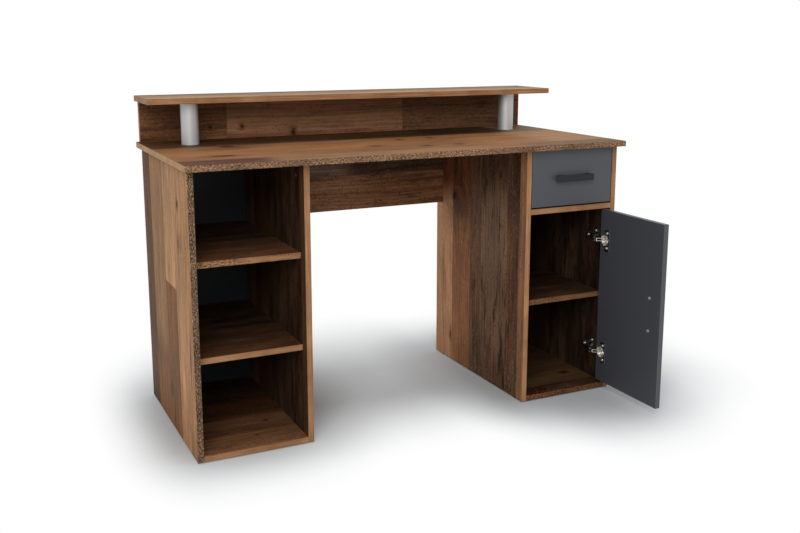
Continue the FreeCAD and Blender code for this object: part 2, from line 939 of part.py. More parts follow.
drawer_front_back = front_plane + size.board
drawer_under = divider_top + size.drawer_base_rise
drawer_top = drawer_under + size.drawer_wall_height
drawer_back = drawer_front_back + size.drawer_length
drawer_left = right_inside[0] + size.runner_space
drawer_right = right_inside[1] - size.runner_space
front_left = right_inside[0] + size.front_side_gap
front_right = right_inside[1] - size.front_side_gap
drawer_front_under = divider_top + size.drawer_bottom_gap
drawer_front_top = worktop_under - size.drawer_top_gap
drawer_handle_centre = (
    (front_left + front_right) / 2, front_plane, (drawer_front_under + drawer_front_top) / 2,
)
floor_under = drawer_under + size.drawer_floor_rise
floor_top = floor_under + size.drawer_floor
drawer_front_screws_rise = [drawer_under + size.small_cam_rise, drawer_top - size.small_cam_rise]


def drawer_joint(wall_x, face):
    """The joint of one drawer wall with the drawer front."""
    points = [(wall_x, drawer_front_back, z) for z in drawer_front_screws_rise]
    return Joint(BACK, face, points, [], SMALL_CAMS)


drawer_left_joint = drawer_joint(drawer_left + size.drawer_wall / 2, RIGHT)
drawer_right_joint = drawer_joint(drawer_right - size.drawer_wall / 2, LEFT)


def floor_groove(low_x, high_x, low_y, high_y):
    """The groove that holds an edge of the drawer's floor."""
    return block((low_x, low_y, floor_under - size.panel_groove_slack / 2),
                 (high_x, high_y, floor_top + size.panel_groove_slack / 2))


def back_screw_points(outer_x):
    """The seats of the screws that hold the drawer's back from one wall."""
    mid_y = drawer_back - size.drawer_wall / 2
    rises = across(floor_top, drawer_top, size.small_cam_rise)
    return [(outer_x, mid_y, z) for z in rises]


def make_drawer_wall(label, outer_x, inward, joint):
    """One side wall of the drawer, grooved for the floor."""
    into = (inward, 0, 0)
    inner_x = outer_x + inward * size.drawer_wall
    groove_x = inner_x - inward * size.drawer_groove
    past_x = inner_x + inward * size.overrun
    low_x, high_x = (outer_x, inner_x) if inward > 0 else (inner_x, outer_x)
    groove_low, groove_high = (groove_x, past_x) if inward > 0 else (past_x, groove_x)
    tools = joint.edge_tools()
    tools.append(floor_groove(groove_low, groove_high, drawer_front_back - size.overrun,
                              drawer_back + size.overrun))
    tools += [screw_bore(point, into, size.drawer_wall) for point in back_screw_points(outer_x)]
    tools += [screw_bore((outer_x + inward * size.drawer_wall / 2, y, drawer_under), UP)
              for y in drawer_runner_screw_rows()]
    board(label, (low_x, drawer_front_back, drawer_under), (high_x, drawer_back, drawer_top), tools)


def make_drawer_box():
    """The drawer's front, walls, back and floor."""
    front_tools = drawer_left_joint.face_tools() + drawer_right_joint.face_tools()
    front_tools += handle_screw_bores(drawer_handle_centre, RIGHT, FRONT)
    inner_left, inner_right = drawer_left + size.drawer_wall, drawer_right - size.drawer_wall
    groove_left, groove_right = inner_left - size.drawer_groove, inner_right + size.drawer_groove
    front_tools.append(floor_groove(groove_left, groove_right,
                                    drawer_front_back - size.drawer_groove,
                                    drawer_front_back + size.overrun))
    board("drawer_front", (front_left, front_plane, drawer_front_under),
          (front_right, drawer_front_back, drawer_front_top), front_tools)
    make_drawer_wall("drawer_left_wall", drawer_left, 1, drawer_left_joint)
    make_drawer_wall("drawer_right_wall", drawer_right, -1, drawer_right_joint)
    board("drawer_back", (inner_left, drawer_back - size.drawer_wall, floor_top),
          (inner_right, drawer_back, drawer_top), screw_bores_into_back())
    edge = size.drawer_groove - size.panel_edge_gap
    node("drawer_floor", block(
        (inner_left - edge, drawer_front_back - edge, floor_under),
        (inner_right + edge, drawer_back, floor_top),
    ))


def screw_bores_into_back():
    """The holes in the ends of the drawer's back, reached through the walls."""
    depth = size.drawer_wall + size.screw_length
    return (
        [screw_bore(point, RIGHT, depth) for point in back_screw_points(drawer_left)]
        + [screw_bore(point, LEFT, depth) for point in back_screw_points(drawer_right)]
    )


def make_drawer_fittings():
    """Handle, cams, bolts and screws that travel with the drawer."""
    make_handle("drawer_handle", drawer_handle_centre, RIGHT, FRONT)
    make_handle_screws("drawer_handle_screws", drawer_handle_centre, RIGHT, FRONT)
    joints = [drawer_left_joint, drawer_right_joint]
    group("drawer_cam_locks", SMALL_CAMS.cam(), [p for joint in joints for p in joint.cam_places()])
    group("drawer_cam_bolts", SMALL_CAMS.bolt_pattern(),
          [p for joint in joints for p in joint.bolt_places()])
    long_screw = screw(size.screw_radius, size.drawer_wall + size.screw_length,
                       size.screw_head_radius, size.screw_head)
    places = [(point, UP, LEFT) for point in back_screw_points(drawer_left)]
    places += [(point, UP, RIGHT) for point in back_screw_points(drawer_right)]
    group("drawer_back_screws", long_screw, places)


# Drawer runners

runner_front = drawer_front_back + size.runner_setback
roller_top = drawer_under + size.runner_lip_rise - size.runner_sheet - size.roller_gap
roller_z = roller_top - size.roller_radius
runner_floor = roller_z - size.roller_radius - size.roller_gap
runner_ceiling = drawer_under + size.runner_lip_rise + size.runner_head_room
cabinet_roller_y = runner_front + size.roller_end
drawer_roller_y = drawer_back - size.roller_end
runner_screw_z = roller_z + size.axle_head_radius + size.screw_head_radius + size.roller_gap


def cabinet_runner_screw_rows():
    """The places of the screws along a cabinet runner."""
    back = runner_front + size.drawer_length
    rows = across(runner_front + size.roller_end, back, size.screw_edge)
    return rows + [(rows[0] + rows[1]) / 2]


def drawer_runner_screw_rows():
    """The places of the screws along a drawer runner."""
    return across(drawer_front_back, drawer_back, 2 * size.screw_edge)


def cabinet_runner_screw_bores(inside_x, inward):
    """The holes in one side for the screws of its runner."""
    return [screw_bore((inside_x, y, runner_screw_z), opposite(inward))
            for y in cabinet_runner_screw_rows()]


def make_cabinet_runner(label, inside_x, inward):
    """The channel screwed to a side, with the axle of its front roller."""
    sheet, reach = size.runner_sheet, size.runner_sheet + size.runner_flange
    low, high = runner_floor - sheet, runner_ceiling + sheet
    section = [
        (0, low), (inward * reach, low), (inward * reach, runner_floor),
        (inward * sheet, runner_floor), (inward * sheet, runner_ceiling),
        (inward * reach, runner_ceiling), (inward * reach, high), (0, high),
    ]
    channel = drawn("XZ_Plane", section, size.drawer_length)[0]
    place(channel, (inside_x, runner_front, 0))
    direction = (inward, 0, 0)
    axle_length = sheet + 2 * size.roller_side_gap + size.roller_width
    foot = (inside_x, cabinet_roller_y, roller_z)
    axle = rod(foot, direction, size.axle_radius, axle_length)
    head = rod(moved(foot, direction, axle_length), direction, size.axle_head_radius, size.axle_head)
    holes = [rod(moved((inside_x, y, runner_screw_z), opposite(direction), size.overrun), direction,
                 size.screw_radius + size.seat_slack, sheet + 2 * size.overrun)
             for y in cabinet_runner_screw_rows()]
    node(label, less(union([channel, axle, head]), holes))


def make_drawer_runner(label, outer_x, outward):
    """The angle under a drawer wall, with the axle of its rear roller."""
    sheet = size.runner_sheet
    low = drawer_under - sheet
    high = drawer_under + size.runner_lip_rise
    section = [
        (-outward * size.runner_foot, low), (outward * sheet, low), (outward * sheet, high - sheet),
        (outward * (sheet + size.runner_lip), high - sheet),
        (outward * (sheet + size.runner_lip), high), (0, high), (0, drawer_under),
        (-outward * size.runner_foot, drawer_under),
    ]
    angle = drawn("XZ_Plane", section, size.drawer_length)[0]
    place(angle, (outer_x, drawer_front_back, 0))
    direction = (outward, 0, 0)
    axle_length = sheet + 2 * size.roller_side_gap + size.roller_width
    foot = (outer_x, drawer_roller_y, roller_z)
    axle = rod(foot, direction, size.axle_radius, axle_length)
    head = rod(moved(foot, direction, axle_length), direction, size.axle_head_radius, size.axle_head)
    wall_mid = outer_x - outward * size.drawer_wall / 2
    holes = [rod((wall_mid, y, low - size.overrun), UP, size.screw_radius + size.seat_slack,
                 sheet + 2 * size.overrun)
             for y in drawer_runner_screw_rows()]
    node(label, less(union([angle, axle, head]), holes))


def make_runners():
    """Channels, angles, rollers and screws of both runners."""
    make_cabinet_runner("cabinet_runner_left", right_inside[0], 1)
    make_cabinet_runner("cabinet_runner_right", right_inside[1], -1)
    make_drawer_runner("drawer_runner_left", drawer_left, -1)
    make_drawer_runner("drawer_runner_right", drawer_right, 1)
    width = size.roller_width
    roller = less(
        rod((0, 0, 0), UP, size.roller_radius, width),
        [rod((0, 0, -size.overrun), UP, size.axle_radius + size.seat_slack,
             width + 2 * size.overrun)],
    )
    start = size.runner_sheet + size.roller_side_gap
    group("cabinet_rollers", roller, [
        ((right_inside[0] + start, cabinet_roller_y, roller_z), BACK, RIGHT),
        ((right_inside[1] - start, cabinet_roller_y, roller_z), BACK, LEFT),
    ])
    group("drawer_rollers", roller, [
        ((drawer_left - start, drawer_roller_y, roller_z), BACK, LEFT),
        ((drawer_right + start, drawer_roller_y, roller_z), BACK, RIGHT),
    ])
    sheet = size.runner_sheet
    places = []
    for y in cabinet_runner_screw_rows():
        places.append(((right_inside[0] + sheet, y, runner_screw_z), UP, RIGHT))
        places.append(((right_inside[1] - sheet, y, runner_screw_z), UP, LEFT))
    group("cabinet_runner_screws", small_screw(), places)
    mids = [drawer_left + size.drawer_wall / 2, drawer_right - size.drawer_wall / 2]
    group("drawer_runner_screws", small_screw(),
          [((x, y, drawer_under - sheet), RIGHT, DOWN)
           for x in mids for y in drawer_runner_screw_rows()])


# Door, standing open at a right angle to the front

pivot_x = right_inside[1] - size.front_side_gap - size.pivot_inset
pivot_y = front_plane + size.pivot_depth
door_outer = pivot_x + size.pivot_depth
door_inner = door_outer - size.board
door_end = pivot_y + size.pivot_inset
door_free = door_end - front_width
door_under = floor_board_top + size.door_bottom_gap
door_top = divider_under - size.door_top_gap
cup_y = door_end - size.cup_setback
hinge_rows = [("upper", door_top - size.hinge_edge), ("lower", door_under + size.hinge_edge)]
door_handle_centre = (door_outer, door_free + size.door_handle_inset, (door_under + door_top) / 2)


def cup_screw_points(z):
    """The seats of the two screws of a hinge cup, on the door's inner face."""
    y = cup_y - size.flange_offset
    return [(door_inner, y, z + sign * size.flange_spacing / 2) for sign in (-1, 1)]


def make_door_panel():
    """The door, bored for its hinge cups and its handle."""
    tools = handle_screw_bores(door_handle_centre, UP, RIGHT)
    for name, z in hinge_rows:
        mouth = (door_inner - size.overrun, cup_y, z)
        tools.append(rod(mouth, RIGHT, size.cup_radius + size.seat_slack,
                         size.cup_depth + size.overrun))
        tools += [screw_bore(point, RIGHT) for point in cup_screw_points(z)]
    board("door_panel", (door_inner, door_free, door_under), (door_outer, door_end, door_top), tools)


def make_hinge_cup(label, z):
    """A drilled-in steel cup with the straight flange that its screws hold."""
    centre = (door_inner, cup_y, z)
    sheet = size.flange_sheet
    face_x = door_inner - sheet
    far_y = cup_y - size.flange_offset - size.flange_edge
    low_z, high_z = z - size.flange_length / 2, z + size.flange_length / 2
    solid = union([
        rod(centre, RIGHT, size.cup_radius, size.cup_depth),
        rod(centre, LEFT, size.cup_radius + size.flange_lip, sheet),
        block((face_x, far_y, low_z), (door_inner, far_y + size.flange_width, high_z)),
    ])
    hollow = rod((face_x - size.overrun, cup_y, z), RIGHT, size.cup_radius - size.cup_wall,
                 size.overrun + sheet + size.cup_depth - size.cup_wall)
    holes = [rod((face_x - size.overrun, y, row), RIGHT, size.screw_radius + size.seat_slack,
                 sheet + 2 * size.overrun) for x, y, row in cup_screw_points(z)]
    node(label, less(solid, [hollow] + holes))


# Fixed half of the hinges

arm_pin = (right_inside[1] - size.arm_pin_inset, front_plane + size.arm_pin_depth)
tip_x = pivot_x - (size.link_pin_depth - size.pivot_depth)
tip_y = pivot_y - (size.link_pin_inset - size.front_side_gap - size.pivot_inset)
plate_front = front_plane + size.plate_front
plate_back = plate_front + size.plate_length
rail_top = size.plate_sheet + size.rail_height
arm_screw_y = plate_back - size.arm_screw_edge
wing_y = plate_front + size.wing_front + size.wing_depth / 2


def plate_screw_points(z):
    """The seats of the two screws of a mounting plate, on the side's inner face."""
    return [(right_inside[1], wing_y, z + sign * size.wing_spacing / 2) for sign in (-1, 1)]


def hinge_plate_bores():
    """The holes in the side for the mounting plates' screws."""
    depth = size.screw_length - size.plate_sheet
    return [screw_bore(point, RIGHT, depth) for name, z in hinge_rows
            for point in plate_screw_points(z)]


def make_hinge_plate(label, z):
    """The cross-shaped mounting plate with its raised rail."""
    wall = right_inside[1]
    face_x = wall - size.plate_sheet
    half_plate, half_rail = size.plate_width / 2, size.rail_width / 2
    half_wing = size.wing_spacing / 2 + size.wing_margin
    wing_front = plate_front + size.wing_front
    solid = union([
        block((face_x, plate_front, z - half_plate), (wall, plate_back, z + half_plate)),
        block((face_x, wing_front, z - half_wing),
              (wall, wing_front + size.wing_depth, z + half_wing)),
        block((wall - rail_top, plate_front, z - half_rail), (wall, plate_back, z + half_rail)),
    ])
    holes = [screw_bore(moved(point, LEFT, size.plate_sheet), RIGHT, size.plate_sheet)
             for point in plate_screw_points(z)]
    holes.append(screw_bore((wall - rail_top, arm_screw_y, z), RIGHT, size.rail_height))
    node(label, less(solid, holes))


def make_hinge_arm(label, z):
    """The cranked arm from the mounting plate to the pin in the cup's mouth."""
    wall = right_inside[1]
    near, far = wall - rail_top, wall - rail_top - size.arm_sheet
    nose_right = arm_pin[0] + size.nose_radius
    nose_left = arm_pin[0] - size.nose_radius
    bend_y, knee_y = front_plane + size.arm_bend, front_plane + size.arm_knee
    arm_end = plate_back - size.arm_end_gap
    outline = [
        (near, arm_end), (far, arm_end), (far, bend_y + size.arm_knee_depth),
        (nose_left, knee_y + size.arm_knee_depth), (nose_left, knee_y), (nose_right, knee_y),
        (near, bend_y),
    ]
    crank = drawn("XY_Plane", outline, size.arm_height)[0]
    place(crank, (0, 0, z - size.arm_height / 2))
    half_nose = size.nose_height / 2
    nose = block((nose_left, arm_pin[1], z - half_nose),
                 (nose_right, knee_y + size.arm_knee_depth / 2, z + half_nose))
    tip = rod((arm_pin[0], arm_pin[1], z - half_nose), UP, size.nose_radius, size.nose_height)
    bore = rod((arm_pin[0], arm_pin[1], z - half_nose - size.overrun), UP,
               size.link_pin_radius + size.seat_slack, size.nose_height + 2 * size.overrun)
    hole = screw_bore((far, arm_screw_y, z), RIGHT, size.arm_sheet)
    node(label, less(union([crank, nose, tip]), [bore, hole]))


def make_hinge_link(label, z):
    """The link from the arm's pin into the cup: two cheeks joined by a barrel."""
    run_x, run_y = tip_x - arm_pin[0], tip_y - arm_pin[1]
    run = diagonal(run_x, run_y)
    side_x = size.link_radius * run_y / run
    side_y = size.link_radius * run_x / run
    outline = [
        (arm_pin[0] + side_x, arm_pin[1] - side_y), (tip_x + side_x, tip_y - side_y),
        (tip_x - side_x, tip_y + side_y), (arm_pin[0] - side_x, arm_pin[1] + side_y),
    ]
    inner = size.nose_height / 2 + size.link_gap
    outer = inner + size.link_sheet
    parts = [rod((tip_x, tip_y, z - outer), UP, size.link_radius, 2 * outer)]
    for low in (z - outer, z + inner):
        cheek = drawn("XY_Plane", outline, size.link_sheet)[0]
        place(cheek, (0, 0, low))
        parts.append(cheek)
        parts.append(rod((arm_pin[0], arm_pin[1], low), UP, size.link_radius, size.link_sheet))
    bore = rod((arm_pin[0], arm_pin[1], z - outer - size.overrun), UP,
               size.link_pin_radius + size.seat_slack, 2 * outer + 2 * size.overrun)
    node(label, less(union(parts), [bore]))


def make_hinges():
    """Both hinges with their pins and screws."""
    for name, z in hinge_rows:
        make_hinge_cup(f"hinge_cup_{name}", z)
        make_hinge_plate(f"hinge_plate_{name}", z)
        make_hinge_arm(f"hinge_arm_{name}", z)
        make_hinge_link(f"hinge_link_{name}", z)
    rows = [z for name, z in hinge_rows]
    half_pin = size.nose_height / 2 + size.link_gap + size.link_sheet
    pin = rod((0, 0, -half_pin), UP, size.link_pin_radius, 2 * half_pin)
    group("hinge_pins", pin, [((arm_pin[0], arm_pin[1], z), RIGHT, UP) for z in rows])
    sheet = size.flange_sheet
    group("hinge_cup_screws", small_screw(),
          [(moved(point, LEFT, sheet), UP, LEFT) for z in rows for point in cup_screw_points(z)])
    group("hinge_plate_screws", small_screw(),
          [(moved(point, LEFT, size.plate_sheet), UP, LEFT)
           for z in rows for point in plate_screw_points(z)])
    arm_screw = screw(size.screw_radius, size.rail_height, size.screw_head_radius, size.screw_head)
    arm_face = right_inside[1] - rail_top - size.arm_sheet
    group("hinge_arm_screws", arm_screw, [((arm_face, arm_screw_y, z), UP, LEFT) for z in rows])


def make_door():
    """The door with its handle."""
    make_door_panel()
    make_handle("door_handle", door_handle_centre, UP, RIGHT)
    make_handle_screws("door_handle_screws", door_handle_centre, UP, RIGHT)


make_worktop()
make_monitor_shelf()
make_riser_board()
make_riser_tubes()
make_left_pedestal()
make_right_pedestal()
make_modesty_panel()
make_carcass_fittings()
make_drawer_box()
make_drawer_fittings()
make_runners()
make_door()
make_hinges()
DOC.recompute()

for thing in DOC.Objects:
    if "Invalid" in thing.State or "Error" in thing.State:
        raise RuntimeError(f"{thing.Label} failed: {thing.State}")
for label, solid in NODES.items():
    if solid.Shape.isNull() or not solid.Shape.isValid():
        raise RuntimeError(f"{label} has no valid shape")
for label, solid in NODES.items():
    solid.Shape.exportStep(f"parts/{label}.step")
print(f"{len(NODES)} nodes written")
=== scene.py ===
"""Looks of a computer desk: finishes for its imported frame, with a floor, lamps and a camera."""

from __future__ import annotations

import enum
import logging
import math
from collections.abc import Callable, Iterable, Mapping, Sequence
from dataclasses import dataclass, field, replace

import bpy
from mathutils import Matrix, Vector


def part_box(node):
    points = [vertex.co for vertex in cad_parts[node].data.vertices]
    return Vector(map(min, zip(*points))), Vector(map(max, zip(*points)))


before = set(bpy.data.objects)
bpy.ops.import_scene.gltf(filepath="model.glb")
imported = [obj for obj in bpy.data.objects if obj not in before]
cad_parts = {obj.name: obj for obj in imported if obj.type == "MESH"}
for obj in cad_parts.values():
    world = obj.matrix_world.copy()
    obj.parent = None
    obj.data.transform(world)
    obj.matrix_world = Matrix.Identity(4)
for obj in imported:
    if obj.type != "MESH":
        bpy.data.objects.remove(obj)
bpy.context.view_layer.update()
LOG = logging.getLogger("desk")

Colour = tuple[float, float, float, float]
Point = tuple[float, float, float]
Socket = bpy.types.NodeSocket


def paint(red: float, green: float, blue: float) -> Colour:
    """Turn a colour as it looks on a screen into linear light.

    Args:
        red: Red level, 0 to 255.
        green: Green level, 0 to 255.
        blue: Blue level, 0 to 255.

    Returns:
        The linear colour with full alpha.
    """
    levels = [level / 255 for level in (red, green, blue)]
    linear = [x / 12.92 if x <= 0.04045 else ((x + 0.055) / 1.055) ** 2.4 for x in levels]
    return (*linear, 1.0)


def dimmed(colour: Colour, share: float) -> Colour:
    """Return a colour taken down to a share of its light."""
    return (*(level * share for level in colour[:3]), 1.0)


def grey(level: float) -> Colour:
    """Return a neutral colour from one screen level, 0 to 255."""
    return paint(level, level, level)


# Shader expressions


def operation(name: str, other_first: bool = False) -> Callable[..., Value]:
    """Return a method for Value that adds one Math node.

    Args:
        name: The Math node's operation.
        other_first: Whether the other number comes before the value itself.

    Returns:
        The method, which takes the other number, if any, and returns the result.
    """
    def method(value: Value, *others: object) -> Value:
        """Add the node.

        Args:
            value: The value that the method belongs to.
            others: The other number or value, where the operation takes one.

        Returns:
            The result of the operation.
        """
        terms = (*others, value) if other_first else (value, *others)
        node = value.tree.node("Math", {"operation": name}, dict(enumerate(terms)))
        return Value(value.tree, node.outputs[0])

    return method


class Value:
    """A number socket that is reckoned with like a number."""

    __add__ = operation("ADD")
    __radd__ = operation("ADD", other_first=True)
    __sub__ = operation("SUBTRACT")
    __rsub__ = operation("SUBTRACT", other_first=True)
    __mul__ = operation("MULTIPLY")
    __rmul__ = operation("MULTIPLY", other_first=True)
    __truediv__ = operation("DIVIDE")
    __rtruediv__ = operation("DIVIDE", other_first=True)
    __abs__ = operation("ABSOLUTE")
    sine = operation("SINE")
    root = operation("SQRT")
    greater = operation("MAXIMUM")
    above = operation("GREATER_THAN")

    def __init__(self, tree: Tree, socket: Socket) -> None:
        """Wrap an output socket of a tree's node."""
        self.tree = tree
        self.socket = socket

    def fade(self, none_at: float, full_at: float) -> Value:
        """Return a smooth step of self.

        Args:
            none_at: Where the step is 0.
            full_at: Where the step is 1. It may be the lower of the two.

        Returns:
            A value from 0 to 1.
        """
        sockets = {"Value": self, "From Min": none_at, "From Max": full_at}
        node = self.tree.node("MapRange", {"interpolation_type": "SMOOTHSTEP"}, sockets)
        return Value(self.tree, node.outputs["Result"])


class Tree:
    """The node tree of one material or world, built by expressions."""

    def __init__(self, owner: bpy.types.Material | bpy.types.World) -> None:
        """Empty the owner's node tree to build it anew.

        Args:
            owner: The material or world that the tree belongs to.
        """
        self.owner = owner
        owner.use_nodes = True
        self.nodes = owner.node_tree.nodes
        self.links = owner.node_tree.links
        self.nodes.clear()

    @classmethod
    def material(cls, name: str) -> Tree:
        """Return the tree of a new material."""
        return cls(bpy.data.materials.new(name))

    def node(self, kind: str, settings: Mapping[str, object] | None = None,
             sockets: Mapping[str | int, object] | None = None) -> bpy.types.Node:
        """Add a node, with its settings before its sockets.

        Args:
            kind: The node's type without the words ShaderNode.
            settings: Attributes of the node. A ramp's interpolation comes under the name ramp,
                and its stops come as pairs of place and colour.
            sockets: Values, wrapped values or sockets for the inputs, by name or place.

        Returns:
            The node.
        """
        made = self.nodes.new(f"ShaderNode{kind}")
        for name, setting in (settings or {}).items():
            if name == "stops":
                self._set_stops(made.color_ramp, setting)
            elif name == "ramp":
                made.color_ramp.interpolation = setting
            else:
                setattr(made, name, setting)
        for name, given in (sockets or {}).items():
            source = given.socket if isinstance(given, Value) else given
            if isinstance(source, Socket):
                self.links.new(source, made.inputs[name])
            else:
                made.inputs[name].default_value = source
        return made

    @staticmethod
    def _set_stops(ramp: bpy.types.ColorRamp, stops: Sequence[tuple[float, Colour]]) -> None:
        """Give a ramp its stops.

        Args:
            ramp: The ramp of a node.
            stops: Pairs of place and colour, from low to high.
        """
        for index, (place, colour) in enumerate(stops):
            while len(ramp.elements) <= index:
                ramp.elements.new(1.0)
            ramp.elements[index].position = place
            ramp.elements[index].color = colour
        while len(ramp.elements) > len(stops):
            ramp.elements.remove(ramp.elements[-1])

    def place(self) -> tuple[Value, Value, Value]:
        """Read the Object coordinates.

        Returns:
            The point's x, y and z, in metres.
        """
        coordinates = self.node("TexCoord").outputs["Object"]
        parts = self.node("SeparateXYZ", sockets={"Vector": coordinates}).outputs
        return Value(self, parts[0]), Value(self, parts[1]), Value(self, parts[2])

    def vector(self, x: object, y: object, z: object) -> Socket:
        """Return a vector socket made of three numbers or values."""
        return self.node("CombineXYZ", sockets={0: x, 1: y, 2: z}).outputs[0]

    def noise(self, vector: Socket, detail: float = 3.0, rough: float = 0.55,
              twist: float = 0.0) -> Value:
        """Return noise at a vector that is already in noise cells.

        Args:
            vector: The place, in cells.
            detail: Number of finer layers.
            rough: Share of each finer layer.
            twist: How far the noise bends itself.

        Returns:
            A value near 0.5, between 0 and 1.
        """
        sockets = {"Vector": vector, "Scale": 1.0, "Detail": detail, "Roughness": rough,
                   "Distortion": twist}
        return Value(self, self.node("TexNoise", sockets=sockets).outputs[0])

    def cells(self, place: Iterable[Value], per_metre: Iterable[float], detail: float = 3.0,
              rough: float = 0.55, twist: float = 0.0) -> Value:
        """Return noise at a place in metres, by its cells per metre on each axis."""
        vector = self.vector(*[at * count for at, count in zip(place, per_metre)])
        return self.noise(vector, detail, rough, twist)

    def ramp(self, value: Value, stops: Sequence[tuple[float, Colour]],
             interpolation: str = "CONSTANT") -> Socket:
        """Return the colour that a ramp has at a value."""
        settings = {"ramp": interpolation, "stops": stops}
        return self.node("ValToRGB", settings, {"Fac": value}).outputs["Color"]

    def parts(self, colour: Socket) -> tuple[Value, Value, Value]:
        """Return the red, green and blue of a colour socket."""
        made = self.node("SeparateColor", sockets={0: colour}).outputs
        return Value(self, made[0]), Value(self, made[1]), Value(self, made[2])

    def blend(self, share: object, first: object, second: object) -> Socket:
        """Mix two colours.

        Args:
            share: How much of the second colour shows, 0 to 1.
            first: Colour or colour socket below.
            second: Colour or colour socket above.

        Returns:
            The mixed colour's socket.
        """
        settings = {"data_type": "RGBA", "blend_type": "MIX"}
        return self.node("Mix", settings, {0: share, 6: first, 7: second}).outputs[2]

    def finish(self, colour: object, rough: object, height: Value | None = None,
               relief: float = 0.0, metallic: float = 0.0,
               gloss: float = 0.5) -> bpy.types.Material:
        """End the tree in a surface and return the material.

        Args:
            colour: Base colour or its socket.
            rough: Roughness or its value.
            height: Height over the surface, as a multiple of relief.
            relief: Depth of the relief, in metres.
            metallic: Metallic share.
            gloss: Specular level.

        Returns:
            The finished material.
        """
        sockets = {"Base Color": colour, "Roughness": rough, "Metallic": metallic,
                   "Specular IOR Level": gloss}
        if height is not None:
            relief_sockets = {"Strength": 1.0, "Distance": relief, "Height": height}
            sockets["Normal"] = self.node("Bump", sockets=relief_sockets).outputs[0]
        surface = self.node("BsdfPrincipled", sockets=sockets)
        self.node("OutputMaterial", sockets={"Surface": surface.outputs[0]})
        return self.owner


# Reclaimed plank decor


@dataclass(frozen=True)
class Noise:
    """Noise in cells that may be longer along the planks, as the marks of wood are.

    Attributes:
        along: Cells per metre along the planks.
        across: Cells per metre across them.
        layer: Its slice of the noise, so that no two kinds of mark lie alike.
        detail: Number of finer layers. This, rough and twist are as in Tree.noise.
        none_at: The noise up to which it leaves no mark.
        full_at: The noise from which its mark shows in full.
    """

    along: float
    across: float
    layer: float = 0.0
    detail: float = 3.0
    rough: float = 0.55
    twist: float = 0.0
    none_at: float = 0.0
    full_at: float = 1.0

    def at(self, along: Value, across: Value, depth: Value | float = 0.0) -> Value:
        """Return the noise at a place of a board, in the slice that a depth gives."""
        place = along.tree.vector(along * self.along, across * self.across, depth + self.layer)
        return along.tree.noise(place, self.detail, self.rough, self.twist)

    def mark(self, along: Value, across: Value, depth: Value | float = 0.0) -> Value:
        """Return how much of its mark shows at a place of a board, 0 to 1."""
        return self.at(along, across, depth).fade(self.none_at, self.full_at)


SWAY = Noise(3, 3, detail=2.0)
RAGGED = Noise(60, 160)
FIGURE = Noise(1.6, 9)
FIBRE = Noise(6, 360, 3, 4.0, 0.75)
STREAKS = Noise(2.6, 74, 7, 5.0, 0.66)
MOTTLE = Noise(30, 84, 11, 6.0, 0.76)
CLOUD = Noise(4, 14, 13, 4.0, 0.6)
FOG = Noise(5, 20, 21, 5.0, 0.7, none_at=0.40, full_at=0.64)
SOIL = Noise(6, 44, 31, 8.0, 0.74, 0.15)
CRACKS = Noise(4, 46, 37, 4.0)
SCRATCHES = Noise(90, 210, 41, 4.0, 0.66, none_at=0.60, full_at=0.66)
PITS = Noise(110, 230, 51, rough=0.7, none_at=0.57, full_at=0.67)
DULLNESS = Noise(3.6, 11, 61, none_at=0.34, full_at=0.64)
EDGE_FIBRE = Noise(7, 380, 4, 4.0, 0.65)
EDGE_CLOUD = Noise(9, 12, 9)
GRIT = Noise(160, 260, 23, 4.0, 0.75, none_at=0.46, full_at=0.56)
GRIT_ZONE = Noise(10, 60, 17, 2.0, none_at=0.40, full_at=0.56)
FLECKS = Noise(170, 330, 2, 4.0, 0.75)
FLECK_ZONE = Noise(6, 20, 8, rough=0.6, none_at=0.40, full_at=0.62)

# Places for a worm hole, per metre along and across the planks
HOLE_CELLS = (95, 130)

# How much further the dark grain goes down in red, green and blue, so that it is a little redder
REDDENING = (1.0, 1.06, 1.12)


class Axis(enum.IntEnum):
    """A direction of the frame."""

    X = 0
    Y = 1
    Z = 2


class EdgeLook(enum.Enum):
    """The kinds of edging that the boards carry."""

    PLAIN = "plain tan edging"
    BARK = "rough grey and brown edging"
    SPECKLED = "tan edging with dark specks"


@dataclass(frozen=True)
class Tone:
    """The colour and the wear of one plank.

    Attributes:
        red: Red screen level of its middle colour, 0 to 255.
        green: Green level.
        blue: Blue level.
        contrast: How far its pale and dark grain lie from that colour, as shares of it.
        wear: Share of weathering, stains and scratches.
        holes: Share of places that have a worm hole.
        painted_shade: Share to which the colour's light is taken down, as painted shade.
    """

    red: float
    green: float
    blue: float
    contrast: float = 0.35
    wear: float = 0.15
    holes: float = 0.06
    painted_shade: float = 1.0

    @property
    def mean(self) -> Colour:
        """Return its middle colour in linear light."""
        return dimmed(paint(self.red, self.green, self.blue), self.painted_shade)

    def light(self) -> Colour:
        """Return the colour of the pale grain."""
        return (*(level * (1 + self.contrast) for level in self.mean[:3]), 1.0)

    def dark(self) -> Colour:
        """Return the colour of the dark grain."""
        depths = [self.contrast * further for further in REDDENING]
        return (*(level * (1 - depth) for level, depth in zip(self.mean, depths)), 1.0)

    def shaded(self, share: float) -> Tone:
        """Return the same tone with painted shade, its colour taken down to a share."""
        return replace(self, painted_shade=self.painted_shade * share)

    def traits(self, seed: float) -> Colour:
        """Return the wear, the holes and a seed as one colour."""
        return (self.wear, self.holes, seed, 1.0)


@dataclass(frozen=True)
class Plank:
    """One plank of a face, from its start, a share of the face's width, to the next one."""

    start: float
    tone: Tone


@dataclass(frozen=True)
class Patch:
    """A length of plank in another tone.

    Attributes:
        across: Its two sides as shares of the face's width.
        along: Its two ends as shares of the face's length.
        tone: Its look.
        soft: Share of the face's length over which its ends fade out.
    """

    across: tuple[float, float]
    along: tuple[float, float]
    tone: Tone
    soft: float = 0.001

    @property
    def is_piece(self) -> bool:
        """Return whether it ends sharply, as a piece of wood with its own grain."""
        return self.soft < 0.01


